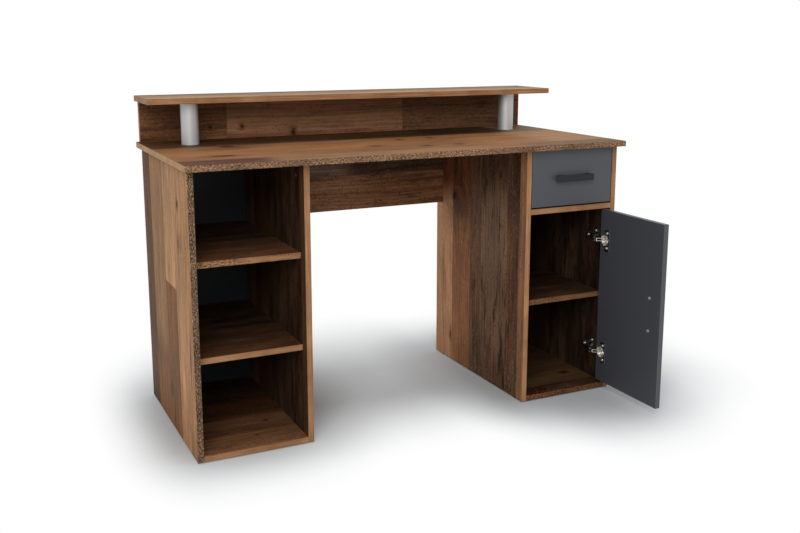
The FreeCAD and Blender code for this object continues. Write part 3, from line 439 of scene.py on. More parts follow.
@dataclass(frozen=True)
class Knot:
    """A knot or a dark streak.

    Attributes:
        along: Its place as a share of the face's length.
        across: Its place as a share of the face's width.
        length: Half its length in metres.
        width: Half its width in metres.
        depth: How dark its middle is, 0 to 1.
    """

    along: float
    across: float
    length: float
    width: float
    depth: float = 0.9


@dataclass(frozen=True)
class Surface:
    """What a pattern gives to a surface at each point.

    Attributes:
        colour: Its base colour.
        rough: Its roughness.
        height: Its height, as a multiple of the board's relief.
    """

    colour: Socket
    rough: Value
    height: Value


@dataclass(frozen=True)
class Spot:
    """Where a point lies on a board.

    Attributes:
        along: Its distance along the planks from the board's low end, in metres.
        across: Its distance across them from the low side, in metres.
        through: Its distance through the board from the low face, in metres.
        length: The board's length along the planks, in metres.
        width: Its width across them, in metres.
    """

    along: Value
    across: Value
    through: Value
    length: float
    width: float


@dataclass(frozen=True)
class PlankFace:
    """The printed planks of one face of a board.

    Attributes:
        planks: The planks, from the low side of the face.
        patches: Lengths of them in other tones.
        knots: Its knots and dark streaks.
        seed: Sets its grain apart from other faces'.
        seam: Half the width of the joint between two planks, in metres.
        ring_gap: Distance between growth rings, in metres.
        veil: Colour of greyed wood.
        stain: Colour of soil, cracks and holes.
        bare: Colour of scratches down to bare wood.
        knot_core: Colour of a knot's middle.
        knot_rim: Colour round a knot.
    """

    planks: tuple[Plank, ...]
    patches: tuple[Patch, ...] = ()
    knots: tuple[Knot, ...] = ()
    seed: float = 0.1
    seam: float = 0.0009
    ring_gap: float = 0.013
    veil: Colour = paint(118, 92, 70)
    stain: Colour = paint(32, 21, 15)
    bare: Colour = paint(176, 144, 112)
    knot_core: Colour = paint(34, 23, 17)
    knot_rim: Colour = paint(104, 66, 40)

    def shaded(self, share: float) -> PlankFace:
        """Paint shade into the face, taking the light of the planks and scratches down.

        Args:
            share: The share of it that stays.

        Returns:
            The same print in darker colours, as painted shade.
        """
        planks = tuple(replace(plank, tone=plank.tone.shaded(share)) for plank in self.planks)
        patches = tuple(replace(patch, tone=patch.tone.shaded(share)) for patch in self.patches)
        return replace(self, planks=planks, patches=patches, bare=dimmed(self.bare, share))

    def lay(self, tree: Tree, spot: Spot) -> Surface:
        """Print the planks on one face.

        Args:
            tree: The board's material tree.
            spot: Where a point lies on the board.

        Returns:
            The face's colour, roughness and height.
        """
        along = spot.along
        sway = SWAY.at(along, spot.across, self.seed * 90)
        share = spot.across / spot.width + (sway - 0.5) * 0.006
        light, dark, traits, seed = self._tones(tree, share, along / spot.length, sway)
        wear, holes, _ = tree.parts(traits)
        depth = seed * 60 + self.seed * 40
        bent, core, rim = self._knots(spot, sway)
        body = self._grain(spot, bent, depth)
        dull = DULLNESS.mark(along, spot.across, depth)
        veil = FOG.mark(along, bent, depth) * (1 - dull * 0.6) * wear
        soil = SOIL.at(along, bent, depth)
        stain = soil.fade(0.49, 0.63) * (dull * 0.85 + 0.25) * wear
        line = abs(CRACKS.at(along, bent, depth) - 0.5).fade(0.010, 0.003)
        crack = line * soil.fade(0.44, 0.56) * wear
        scratch = SCRATCHES.mark(along, bent, depth) * (1 - dull * 0.5) * wear
        pit = PITS.mark(along, bent, depth) * (wear + holes)
        hole = self._holes(tree, spot, holes, depth)
        seam = self._seams(tree, share, spot.width)
        colour = tree.blend(body, dark, light)
        for cover, laid in ((veil * 0.5, self.veil), (stain, self.stain),
                            (crack * 0.8, self.stain), (scratch * 0.8, self.bare),
                            (pit * 0.6, self.stain), (hole * 0.85, self.stain),
                            (seam * 0.55, self.stain), (rim * 0.6, self.knot_rim),
                            (core, self.knot_core)):
            colour = tree.blend(cover, colour, laid)
        height = body * 0.5 + scratch * 0.3 - stain * 0.5 - hole - seam - crack - core * 0.4 + 1
        rough = body * 0.08 + stain * 0.12 + 0.56
        return Surface(colour, rough, height)

    def _grain(self, spot: Spot, bent: Value, depth: Value) -> Value:
        """Add up rings, fibres, streaks, mottling and slow changes.

        Args:
            spot: Where a point lies on the board.
            bent: Its place across the grain, which the knots bend.
            depth: The slice of the noise that its plank has.

        Returns:
            How pale the grain is there, 0 to 1.
        """
        along = spot.along
        figure = FIGURE.at(along, bent, depth)
        rings = ((bent / self.ring_gap + figure * 5) * math.tau).sine() * 0.5 + 0.5
        total = rings * 0.10
        for noise, strength in ((FIBRE, 0.30), (STREAKS, 0.50), (MOTTLE, 0.35)):
            total = total + noise.at(along, bent, depth) * strength
        total = total + CLOUD.at(along, spot.across, depth) * 0.60
        return total.fade(0.70, 1.14)

    def _tones(self, tree: Tree, share: Value, run: Value,
               sway: Value) -> tuple[Socket, Socket, Socket, Value]:
        """Look up the plank or the patch at a point.

        Args:
            tree: The board's material tree.
            share: The point's place across the planks, as a share of the face's width.
            run: Its place along them, as a share of the face's length.
            sway: Slow noise that makes the patches' ends uneven.

        Returns:
            The light colour, the dark colour, the traits and the seed that it has.
        """
        # Steps of 3 in 11 keep the seeds of neighbouring planks well apart
        seeds = [((3 * index + 1) % 11) / 11 for index in range(len(self.planks))]
        light = tree.ramp(share, [(p.start, p.tone.light()) for p in self.planks])
        dark = tree.ramp(share, [(p.start, p.tone.dark()) for p in self.planks])
        traits = tree.ramp(share, [(p.start, p.tone.traits(s)) for p, s in zip(self.planks, seeds)])
        seed = tree.parts(traits)[2]
        rugged = run + (sway - 0.5) * 0.01
        for index, patch in enumerate(self.patches):
            low, high = patch.along
            mask = rugged.fade(low - patch.soft, low + patch.soft)
            mask = mask * rugged.fade(high + patch.soft, high - patch.soft)
            mask = mask * share.above(patch.across[0]) * (1 - share.above(patch.across[1]))
            light = tree.blend(mask, light, patch.tone.light())
            dark = tree.blend(mask, dark, patch.tone.dark())
            traits = tree.blend(mask, traits, patch.tone.traits(0.0))
            if patch.is_piece:
                seed = seed + mask * (0.93 - 0.07 * index - seed)
        return light, dark, traits, seed

    def _knots(self, spot: Spot, sway: Value) -> tuple[Value, Value, Value]:
        """Bend the grain round the knots.

        Args:
            spot: Where a point lies on the board.
            sway: Slow noise, used only to start the cores and rims at 0.

        Returns:
            The bent place across the grain, the knots' cores and their rims.
        """
        bent, core, rim = spot.across, sway * 0, sway * 0
        if not self.knots:
            return bent, core, rim
        ragged = RAGGED.at(spot.along, spot.across, self.seed * 70)
        # Far counts the knot's half sizes: its core ends at 1, its rim at 2.1, its bend at 3.4
        for knot in self.knots:
            reach = (spot.along - knot.along * spot.length) / knot.length
            aside = (spot.across - knot.across * spot.width) / knot.width
            far = (reach * reach + aside * aside).root() + (ragged - 0.5) * 1.3
            core = core.greater(far.fade(1.0, 0.35) * knot.depth)
            rim = rim.greater(far.fade(2.1, 0.9) * knot.depth)
            bent = bent - aside * far.fade(3.4, 0.6) * (knot.width * 0.6)
        return bent, core, rim

    def _holes(self, tree: Tree, spot: Spot, holes: Value, depth: Value) -> Value:
        """Scatter worm holes.

        Args:
            tree: The board's material tree.
            spot: Where a point lies on the board.
            holes: The share of places there that have a hole.
            depth: The slice of the noise that its plank has.

        Returns:
            1 in a hole, fading to 0 beside it.
        """
        along, across = HOLE_CELLS
        vector = tree.vector(spot.along * along, spot.across * across, depth * 3)
        cells = tree.node("TexVoronoi", sockets={"Vector": vector, "Scale": 1.0})
        chance = tree.parts(cells.outputs["Color"])[0]
        near = Value(tree, cells.outputs["Distance"]).fade(0.30, 0.12)
        return near * (chance + holes).above(1.0)

    def _seams(self, tree: Tree, share: Value, width: float) -> Value:
        """Draw the thin joints between planks.

        Args:
            tree: The board's material tree.
            share: The point's place across the planks, as a share of the face's width.
            width: The face's width, in metres.

        Returns:
            1 in the middle of a joint, fading to 0 beside it.
        """
        half = self.seam / width
        stops = [(0.0, grey(0))]
        for plank in self.planks[1:]:
            stops += [(plank.start - half, grey(0)), (plank.start, grey(255)),
                      (plank.start + half, grey(0))]
        return tree.parts(tree.ramp(share, stops, "LINEAR"))[0]


@dataclass(frozen=True)
class Edging:
    """The thin band on the edges of a board.

    Attributes:
        light: Pale grain of plain and speckled edging.
        dark: Dark grain of the same.
        pale_bark: Pale flecks of rough edging.
        mid_bark: Its ground.
        dark_bark: Its dark flecks.
        speck: The specks of speckled edging.
    """

    light: Colour = paint(185, 139, 100)
    dark: Colour = paint(134, 94, 63)
    pale_bark: Colour = paint(200, 163, 128)
    mid_bark: Colour = paint(144, 109, 82)
    dark_bark: Colour = paint(60, 41, 29)
    speck: Colour = paint(52, 34, 24)

    def lay(self, tree: Tree, spot: Spot, look: EdgeLook) -> Surface:
        """Print one kind of edging.

        Args:
            tree: The board's material tree.
            spot: Where a point lies on the board.
            look: The kind of edging.

        Returns:
            The edging's colour, roughness and height.
        """
        if look is EdgeLook.BARK:
            return self._bark(tree, spot)
        return self._grain(tree, spot, 0.85 if look is EdgeLook.SPECKLED else 0.0)

    def _grain(self, tree: Tree, spot: Spot, specks: float) -> Surface:
        """Print tan edging.

        Args:
            tree: The board's material tree.
            spot: Where a point lies on the board.
            specks: How much dark specks show, 0 to 1.

        Returns:
            The edging's colour, roughness and height.
        """
        side = spot.across + spot.through
        fibre = EDGE_FIBRE.at(spot.along, side)
        cloud = EDGE_CLOUD.at(spot.along, side)
        body = (fibre * 0.7 + cloud * 0.5).fade(0.42, 0.80)
        grit = GRIT.mark(spot.along, side)
        zone = GRIT_ZONE.mark(spot.along, side)
        colour = tree.blend(body, self.dark, self.light)
        colour = tree.blend(grit * zone * specks, colour, self.speck)
        return Surface(colour, body * 0.1 + 0.46, body)

    def _bark(self, tree: Tree, spot: Spot) -> Surface:
        """Print rough edging of tan, brown and dark flecks.

        Args:
            tree: The board's material tree.
            spot: Where a point lies on the board.

        Returns:
            The edging's colour, roughness and height.
        """
        side = spot.across + spot.through
        fleck = FLECKS.at(spot.along, side)
        zone = FLECK_ZONE.mark(spot.along, side)
        colour = tree.blend(fleck.fade(0.40, 0.52), self.dark_bark, self.mid_bark)
        colour = tree.blend(fleck.fade(0.54, 0.63), colour, self.pale_bark)
        colour = tree.blend(zone * 0.45, colour, self.dark_bark)
        return Surface(colour, fleck * 0.2 + 0.5, fleck)


@dataclass(frozen=True)
class Board:
    """One decor board of the frame and the way it is printed.

    Attributes:
        node: Its name in the frame.
        grain: The axis that its planks run along.
        across: The axis that crosses the planks.
        low: The face at the low end of the third axis.
        high: The face at the other end, or None where both are alike.
        edges: The looks of the edges that aren't plain, by axis and end.
        edging: The colours of its edges.
        band: How far from an edge the edging shows on a face, in metres.
        relief: Depth of the printed grain in metres.
        gloss: Specular level.
    """

    node: str
    grain: Axis
    across: Axis
    low: PlankFace
    high: PlankFace | None = None
    edges: Mapping[tuple[Axis, bool], EdgeLook] = field(default_factory=dict)
    edging: Edging = Edging()
    band: float = 0.0004
    relief: float = 0.0006
    gloss: float = 0.10

    def dress(self) -> None:
        """Give the board its decor."""
        low_corner, high_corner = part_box(self.node)
        tree = Tree.material(self.node)
        place = tree.place()
        through = Axis(3 - self.grain - self.across)
        spot = Spot(place[self.grain] - low_corner[self.grain],
                    place[self.across] - low_corner[self.across],
                    place[through] - low_corner[through],
                    high_corner[self.grain] - low_corner[self.grain],
                    high_corner[self.across] - low_corner[self.across])
        surface = self.low.lay(tree, spot)
        if self.high is not None:
            middle = (high_corner[through] - low_corner[through]) / 2
            above = spot.through.above(middle)
            surface = self._join(tree, above, surface, self.high.lay(tree, spot))
        for look in EdgeLook:
            mask = self._edge_mask(place, look)
            if mask is not None:
                surface = self._join(tree, mask, surface, self.edging.lay(tree, spot, look))
        wear(tree.finish(surface.colour, surface.rough, surface.height, self.relief,
                         gloss=self.gloss), self.node)

    def _edge_mask(self, place: tuple[Value, Value, Value], look: EdgeLook) -> Value | None:
        """Find the edges with one look.

        Args:
            place: A point's x, y and z, in metres.
            look: The kind of edging.

        Returns:
            1 on those edges, fading to 0 beside them, or None where the board has none.
        """
        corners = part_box(self.node)
        mask = None
        for axis in (self.grain, self.across):
            for end in (False, True):
                if self.edges.get((axis, end), EdgeLook.PLAIN) is not look:
                    continue
                near = abs(place[axis] - corners[end][axis]).fade(self.band * 1.5, self.band)
                mask = near if mask is None else mask.greater(near)
        return mask

    @staticmethod
    def _join(tree: Tree, mask: Value, first: Surface, second: Surface) -> Surface:
        """Lay one surface over another.

        Args:
            tree: The board's material tree.
            mask: 1 where the second surface shows.
            first: The surface below.
            second: The surface above.

        Returns:
            The two as one surface.
        """
        keep = 1 - mask
        return Surface(tree.blend(mask, first.colour, second.colour),
                       first.rough * keep + second.rough * mask,
                       first.height * keep + second.height * mask)


def wear(material: bpy.types.Material, *nodes: str) -> None:
    """Put a material on every slot of some frame nodes.

    Args:
        material: The material.
        nodes: The nodes' names.
    """
    for node in nodes:
        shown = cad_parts[node]
        if not shown.material_slots:
            shown.data.materials.append(material)
        for slot in shown.material_slots:
            slot.material = material


# Other finishes


# How deep the look of a single face goes, in metres
SKIN = 0.0003


@dataclass(frozen=True)
class Graphite:
    """Smooth matt grey decor, with painted shade on a door's inner face.

    Attributes:
        name: The material's name.
        face: Colour of the outer faces.
        shade: Colour of its darker grain.
        inner: Colour of the inner face, darker than the rest as painted shade.
        inner_at: The x of that face, or None where there is none.
    """

    name: str
    face: Colour = paint(76, 79, 83)
    shade: Colour = grey(62)
    inner: Colour = paint(67, 68, 74)
    inner_at: float | None = None

    def material(self) -> bpy.types.Material:
        """Build the decor's shader.

        Returns:
            The material.
        """
        tree = Tree.material(self.name)
        place = tree.place()
        grain = tree.cells(place, (420, 420, 420), rough=0.6)
        cloud = tree.cells(place, (6, 6, 6), 2.0)
        colour = tree.blend(cloud * 0.12 + grain * 0.1, self.face, self.shade)
        # Painted shade: the door's inner face gets a darker colour
        if self.inner_at is not None:
            shaded_inner_face = place[Axis.X].fade(self.inner_at + SKIN * 2, self.inner_at + SKIN)
            colour = tree.blend(shaded_inner_face, colour, self.inner)
        return tree.finish(colour, grain * 0.1 + cloud * 0.06 + 0.4, grain, 0.00012, gloss=0.4)


@dataclass(frozen=True)
class Hardboard:
    """Thin fibreboard with a painted front and a raw fibrous back.

    Attributes:
        name: The material's name.
        raw_from: The y of its back face.
        face: Colour of the paint.
        face_shade: Colour of its darker places.
        raw: Colour of the raw side.
        raw_shade: Colour of its darker fibres.
    """

    name: str
    raw_from: float
    face: Colour = paint(40, 43, 50)
    face_shade: Colour = grey(24)
    raw: Colour = paint(104, 76, 54)
    raw_shade: Colour = paint(66, 45, 32)

    def material(self) -> bpy.types.Material:
        """Build the fibreboard's shader.

        Returns:
            The material.
        """
        tree = Tree.material(self.name)
        place = tree.place()
        fibre = tree.cells(place, (160, 160, 240), 5.0, 0.7, 0.4)
        cloud = tree.cells(place, (5, 5, 5))
        back = place[Axis.Y].fade(self.raw_from - SKIN * 2, self.raw_from - SKIN)
        painted = tree.blend(cloud * 0.25 + fibre * 0.15, self.face, self.face_shade)
        bare = tree.blend(fibre.fade(0.35, 0.65) * 0.6, self.raw, self.raw_shade)
        colour = tree.blend(back, painted, bare)
        return tree.finish(colour, back * 0.3 + fibre * 0.1 + 0.45, fibre, 0.0002, gloss=0.3)


@dataclass(frozen=True)
class Melamine:
    """Pale board with a fine pearl grain.

    Attributes:
        name: The material's name.
        face: Its colour.
        shade: Colour of its darker grain.
    """

    name: str
    face: Colour = paint(196, 195, 190)
    shade: Colour = paint(172, 170, 164)

    def material(self) -> bpy.types.Material:
        """Build the board's shader.

        Returns:
            The material.
        """
        tree = Tree.material(self.name)
        place = tree.place()
        grain = tree.cells(place, (300, 300, 300), 4.0, 0.6)
        cloud = tree.cells(place, (7, 7, 7), 2.0)
        colour = tree.blend(grain * 0.4 + cloud * 0.3, self.face, self.shade)
        return tree.finish(colour, grain * 0.12 + 0.38, grain, 0.0001, gloss=0.4)


@dataclass(frozen=True)
class Metal:
    """A bare, plated or coated metal with fine brush marks along one axis.

    Attributes:
        name: The material's name.
        colour: Its base colour.
        shade: Colour of its darker marks.
        rough: Its roughness.
        metallic: 1 for bare metal, 0 for a coating.
        brush: The axis that the marks run along.
        marks: How much the marks show.
        gloss: Specular level.
    """

    name: str
    colour: Colour
    shade: Colour
    rough: float
    metallic: float = 1.0
    brush: Axis = Axis.Z
    marks: float = 0.5
    gloss: float = 0.5

    def material(self) -> bpy.types.Material:
        """Build the metal's shader.

        Returns:
            The material.
        """
        tree = Tree.material(self.name)
        place = tree.place()
        brushed = tree.cells(place, [18 if axis is self.brush else 900 for axis in Axis], rough=0.6)
        smear = tree.cells(place, (60, 60, 60))
        colour = tree.blend((brushed * 0.6 + smear * 0.4) * self.marks, self.colour, self.shade)
        rough = brushed * 0.12 + smear * 0.1 + (self.rough - 0.1)
        return tree.finish(colour, rough, brushed, 0.00004, self.metallic, self.gloss)


@dataclass(frozen=True)
class Moulded:
    """Plain moulded plastic or turned wood with a fine grain.

    Attributes:
        name: The material's name.
        colour: Its base colour.
        shade: Colour of its darker grain.
        rough: Its roughness.
        cells: How fine the grain is, in noise cells per metre.
    """

    name: str
    colour: Colour
    shade: Colour
    rough: float = 0.45
    cells: float = 500.0

    def material(self) -> bpy.types.Material:
        """Build the finish's shader.

        Returns:
            The material.
        """
        tree = Tree.material(self.name)
        grain = tree.cells(tree.place(), (self.cells, self.cells, self.cells), rough=0.6)
        colour = tree.blend(grain * 0.5, self.colour, self.shade)
        return tree.finish(colour, grain * 0.15 + self.rough - 0.07, grain, 0.00008, gloss=0.45)


# Plank tones, by their look


TAN = Tone(161, 121, 88, 0.30)
HONEY = Tone(153, 107, 70, 0.35)
CLAY = Tone(123, 93, 68, 0.38, 0.35, 0.12)
RUST = Tone(120, 79, 53, 0.45, 0.4, 0.22)
UMBER = Tone(84, 55, 38, 0.55, 0.6, 0.3)
ASH = Tone(106, 80, 60, 0.55, 0.85, 0.2)

OUTER_SIDE = PlankFace(
    (Plank(0.0, Tone(183, 134, 90, 0.44, 0.28, 0.08)),
     Plank(0.115, Tone(180, 135, 94, 0.46, 0.25, 0.10)),
     Plank(0.305, Tone(190, 145, 101, 0.44, 0.24, 0.06)),
     Plank(0.53, Tone(135, 91, 54, 0.50, 0.35, 0.14)),
     Plank(0.82, Tone(91, 57, 30, 0.55, 0.55, 0.16)),
     Plank(0.925, Tone(97, 66, 43, 0.62, 0.80, 0.18))),
    (Patch((0.305, 0.53), (0.0, 0.555), Tone(134, 87, 45, 0.50, 0.45, 0.12)),
     Patch((0.115, 0.305), (-0.1, 0.28), Tone(199, 146, 100, 0.42, 0.25, 0.10), 0.06),
     Patch((0.53, 0.82), (0.30, 1.0), Tone(163, 119, 78, 0.42, 0.22, 0.12), 0.06)),
    (Knot(0.868, 0.213, 0.014, 0.009, 1.0), Knot(0.735, 0.222, 0.022, 0.009, 0.8),
     Knot(0.74, 0.17, 0.04, 0.020, 0.35), Knot(0.14, 0.5, 0.03, 0.018, 0.6),
     Knot(0.36, 0.066, 0.05, 0.006, 0.7)),
    seed=0.15,
)
WEATHERED_SHADED_SIDE = PlankFace(
    (Plank(0.0, Tone(143, 101, 70, 0.42, 0.30, 0.20)),
     Plank(0.063, Tone(104, 65, 41, 0.60, 0.80, 0.30)),
     Plank(0.185, Tone(113, 84, 60, 0.52, 0.90, 0.20)),
     Plank(0.46, Tone(116, 82, 55, 0.52, 0.80, 0.18)),
     Plank(0.583, Tone(156, 105, 68, 0.45, 0.38, 0.20)),
     Plank(0.795, Tone(202, 150, 108, 0.36, 0.16, 0.06))),
    # The darker patches along the top and the foot of the planks are partly their own tones and
    # partly painted shade, under the worktop and near the floor
    (Patch((0.185, 0.46), (0.82, 1.0), Tone(83, 57, 39, 0.6, 0.95, 0.2), 0.08),
     Patch((0.185, 0.46), (0.52, 0.80), Tone(126, 98, 75, 0.45, 0.85, 0.2), 0.08),
     Patch((0.063, 0.583), (-0.2, 0.16), Tone(93, 65, 45, 0.60, 0.9, 0.2), 0.08),
     Patch((0.063, 0.185), (0.72, 1.1), Tone(76, 46, 29, 0.60, 0.8, 0.3), 0.06),
     Patch((0.583, 0.795), (0.70, 1.1), Tone(114, 70, 41, 0.55, 0.6, 0.2), 0.10),
     Patch((0.795, 1.0), (0.77, 1.1), Tone(132, 78, 50, 0.45, 0.35, 0.1), 0.05),
     Patch((0.795, 1.0), (-0.1, 0.17), Tone(177, 130, 92, 0.40, 0.25, 0.1), 0.06)),
    (Knot(0.745, 0.775, 0.022, 0.024), Knot(0.70, 0.73, 0.05, 0.05, 0.5),
     Knot(0.885, 0.26, 0.016, 0.012, 0.8), Knot(0.84, 0.41, 0.018, 0.01, 0.7),
     Knot(0.11, 0.815, 0.018, 0.008, 0.7), Knot(0.36, 0.91, 0.10, 0.010, 0.35)),
    seed=0.42,
)
FAR_SIDE = PlankFace(
    (Plank(0.0, TAN), Plank(0.16, CLAY), Plank(0.37, HONEY), Plank(0.60, TAN), Plank(0.86, RUST)),
    (Patch((0.37, 0.60), (0.55, 1.0), ASH),),
    (Knot(0.3, 0.25, 0.02, 0.011), Knot(0.8, 0.7, 0.016, 0.009), Knot(0.5, 0.45, 0.03, 0.01, 0.5)),
    seed=0.77,
)
WORKTOP_FACE = PlankFace(
    (Plank(0.0, Tone(141, 101, 66, 0.30, 0.18, 0.06)),
     Plank(0.14, Tone(137, 95, 60, 0.32, 0.20, 0.08)),
     Plank(0.33, Tone(139, 94, 55, 0.34, 0.22, 0.10)),
     Plank(0.48, Tone(131, 90, 58, 0.36, 0.30, 0.12)),
     # The planks from here back are dark partly in their own tones and partly with the monitor
     # shelf's shadow painted in
     Plank(0.64, Tone(72, 46, 29, 0.50, 0.50, 0.20)),
     Plank(0.78, Tone(77, 46, 8, 0.50, 0.50, 0.20))),
    (Patch((0.0, 0.14), (-0.1, 0.19), Tone(79, 40, 9, 0.50, 0.45, 0.1), 0.05),
     Patch((0.0, 0.14), (0.19, 0.42), Tone(128, 93, 62, 0.40, 0.30, 0.1), 0.04),
     Patch((0.14, 0.33), (0.22, 0.70), Tone(125, 84, 50, 0.38, 0.28, 0.1), 0.06),
     Patch((0.33, 0.64), (0.47, 0.70), Tone(126, 84, 49, 0.40, 0.30, 0.1), 0.05),
     # These two patches are the monitor shelf's shadow painted onto the rear planks, over their own
     # dark tones
     Patch((0.64, 0.78), (0.42, 0.88), Tone(43, 25, 13, 0.50, 0.55, 0.2), 0.06),
     Patch((0.78, 1.0), (0.66, 0.88), Tone(49, 27, 1, 0.50, 0.50, 0.2), 0.05),
     Patch((0.0, 0.64), (0.84, 1.1), Tone(151, 112, 78, 0.28, 0.22, 0.05), 0.03),
     Patch((0.0, 0.14), (0.76, 1.1), Tone(116, 85, 58, 0.38, 0.45, 0.08), 0.03),
     Patch((0.64, 1.0), (0.88, 1.1), Tone(140, 112, 88, 0.35, 0.45, 0.08), 0.02)),
    (Knot(0.104, 0.262, 0.042, 0.018, 1.0), Knot(0.158, 0.6, 0.036, 0.034, 0.8),
     Knot(0.448, 0.33, 0.026, 0.016, 0.9), Knot(0.552, 0.235, 0.024, 0.015, 1.0),
     Knot(0.63, 0.24, 0.022, 0.016, 0.8), Knot(0.55, 0.53, 0.018, 0.018, 0.9),
     Knot(0.632, 0.55, 0.016, 0.016, 0.9)),
    seed=0.31,
)
SHELF_FACE = PlankFace(
    (Plank(0.0, Tone(167, 131, 95, 0.30, 0.12, 0.04)),
     Plank(0.32, Tone(141, 111, 82, 0.30, 0.18, 0.05)),
     Plank(0.74, Tone(101, 82, 63, 0.38, 0.42, 0.08))),
    (),
    (Knot(0.255, 0.02, 0.03, 0.014, 0.8),),
    seed=0.58,
)
RISER_FACE = PlankFace(
    (Plank(0.0, Tone(155, 105, 76, 0.40, 0.35, 0.20)),
     Plank(0.10, Tone(161, 117, 85, 0.36, 0.25, 0.15))),
    (Patch((0.0, 1.0), (-0.1, 0.13), Tone(107, 70, 45, 0.45, 0.45, 0.55)),
     Patch((0.0, 1.0), (0.13, 0.2), Tone(133, 91, 60, 0.45, 0.45, 0.40)),
     Patch((0.0, 1.0), (0.985, 1.1), Tone(133, 88, 60, 0.45, 0.40, 0.30)),
     Patch((0.0, 1.0), (0.655, 0.985), Tone(114, 79, 54, 0.45, 0.50, 0.50))),
    (Knot(0.236, 0.30, 0.008, 0.008), Knot(0.363, 0.1, 0.01, 0.014), Knot(0.16, 0.3, 0.008, 0.006)),
    seed=0.66,
)
MODESTY_FACE = PlankFace(
    (Plank(0.0, Tone(154, 108, 78, 0.48, 0.42, 0.60)),
     Plank(0.24, Tone(153, 109, 79, 0.48, 0.45, 0.50)),
     Plank(0.49, Tone(74, 50, 35, 0.58, 0.60, 0.30))),
    (Patch((0.49, 1.0), (-0.1, 0.48), Tone(127, 101, 85, 0.50, 0.55, 0.20), 0.06),
     Patch((0.0, 0.49), (0.55, 1.1), Tone(134, 90, 60, 0.48, 0.50, 0.50), 0.10)),
    (),
    seed=0.87,
)
# The left bottom board's planks darken towards the back partly in their own tones and partly with
# painted shade deep in the pedestal
FLOOR_FACE_LEFT = PlankFace(
    (Plank(0.0, Tone(125, 83, 55, 0.45, 0.80, 0.10)),
     Plank(0.09, Tone(117, 81, 53, 0.40, 0.25, 0.10)),
     Plank(0.19, Tone(96, 63, 41, 0.42, 0.35, 0.10)),
     Plank(0.40, Tone(78, 46, 25, 0.45, 0.40, 0.12)),
     Plank(0.64, Tone(64, 41, 28, 0.50, 0.50, 0.20))),
    (),
    (Knot(0.76, 0.31, 0.01, 0.010, 0.8), Knot(0.58, 0.145, 0.006, 0.004, 0.8)),
    seed=0.21,
)
# The right bottom board's planks are dark partly in their own tones and partly with the cupboard's
# shade painted in
FLOOR_FACE_RIGHT = PlankFace(
    (Plank(0.0, Tone(43, 20, 6, 0.50, 0.50, 0.20)),
     Plank(0.10, Tone(74, 52, 32, 0.38, 0.25, 0.10)),
     Plank(0.40, Tone(63, 43, 26, 0.40, 0.30, 0.12)),
     Plank(0.70, UMBER)),
    (),
    (Knot(0.78, 0.235, 0.03, 0.018),),
    seed=0.93,
)
SHELF_BOARD_FACE = PlankFace(
    (Plank(0.0, Tone(127, 80, 50, 0.42, 0.45, 0.20)),
     Plank(0.16, Tone(99, 66, 44, 0.45, 0.55, 0.25)),
     Plank(0.45, Tone(69, 47, 33, 0.58, 0.75, 0.25)),
     Plank(0.72, Tone(90, 61, 41, 0.45, 0.50, 0.15))),
    (),
    (Knot(0.55, 0.1, 0.012, 0.008, 0.7),),
    seed=0.49,
)

DIM_SIDE = replace(WEATHERED_SHADED_SIDE, patches=(), knots=())
# Walls of the open pedestal and of the cupboard: the plain print with painted shade, darkest in the
# cupboard
SHADED_INNER_WALL = DIM_SIDE.shaded(0.29)
SHADED_CUPBOARD_WALL = DIM_SIDE.shaded(0.12)
WARM_EDGING = Edging(light=paint(199, 150, 108), dark=paint(145, 102, 68))
PALE_EDGING = Edging(light=paint(208, 164, 118), dark=paint(158, 116, 78))
BROWN_EDGING = Edging(light=paint(152, 110, 78), dark=paint(106, 74, 50))
RED_EDGING = Edging(pale_bark=paint(170, 112, 76), mid_bark=paint(120, 78, 52),
                    dark_bark=paint(40, 25, 17))
DARK_EDGING = Edging(pale_bark=paint(194, 163, 133), mid_bark=paint(120, 91, 70),
                     dark_bark=paint(38, 27, 20))
FRONT = (Axis.Y, False)
RIGHT_END = (Axis.X, True)


# Sub-assemblies


@dataclass
class BoardGroup:
    """A sub-assembly of decor boards.

    Attributes:
        boards: The boards and their prints.
    """

    boards: tuple[Board, ...] = ()

    def dress(self) -> None:
        """Finish the boards."""
        for board in self.boards:
            board.dress()


@dataclass
class Top(BoardGroup):
    """The worktop and the modesty panel under it."""

    boards: tuple[Board, ...] = (
        Board("worktop", Axis.X, Axis.Y, WORKTOP_FACE,
              edges={FRONT: EdgeLook.BARK, RIGHT_END: EdgeLook.BARK}, edging=PALE_EDGING),
        Board("modesty_panel", Axis.X, Axis.Z, MODESTY_FACE),
    )


@dataclass
class Riser(BoardGroup):
    """The monitor shelf on its board and two tubes.

    Attributes:
        tube: Finish of the tubes.
    """

    boards: tuple[Board, ...] = (
        Board("monitor_shelf", Axis.X, Axis.Y, SHELF_FACE),
        Board("riser_backboard", Axis.X, Axis.Z, RISER_FACE),
    )
    tube: Metal = Metal("satin_steel", paint(200, 200, 199), paint(176, 176, 175), 0.46, 0.6)

    def dress(self) -> None:
        """Finish the riser's boards and tubes."""
        super().dress()
        wear(self.tube.material(), "riser_tube_left", "riser_tube_right")


@dataclass
class Pedestal(BoardGroup):
    """A pedestal with its boards and its hardboard back.

    Attributes:
        side: The word for its side in the nodes' names.
    """

    side: str = ""

    def dress(self) -> None:
        """Finish the boards and the back panel."""
        super().dress()
        panel = f"{self.side}_back_panel"
        wear(Hardboard(f"{self.side}_hardboard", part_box(panel)[1].y).material(), panel)


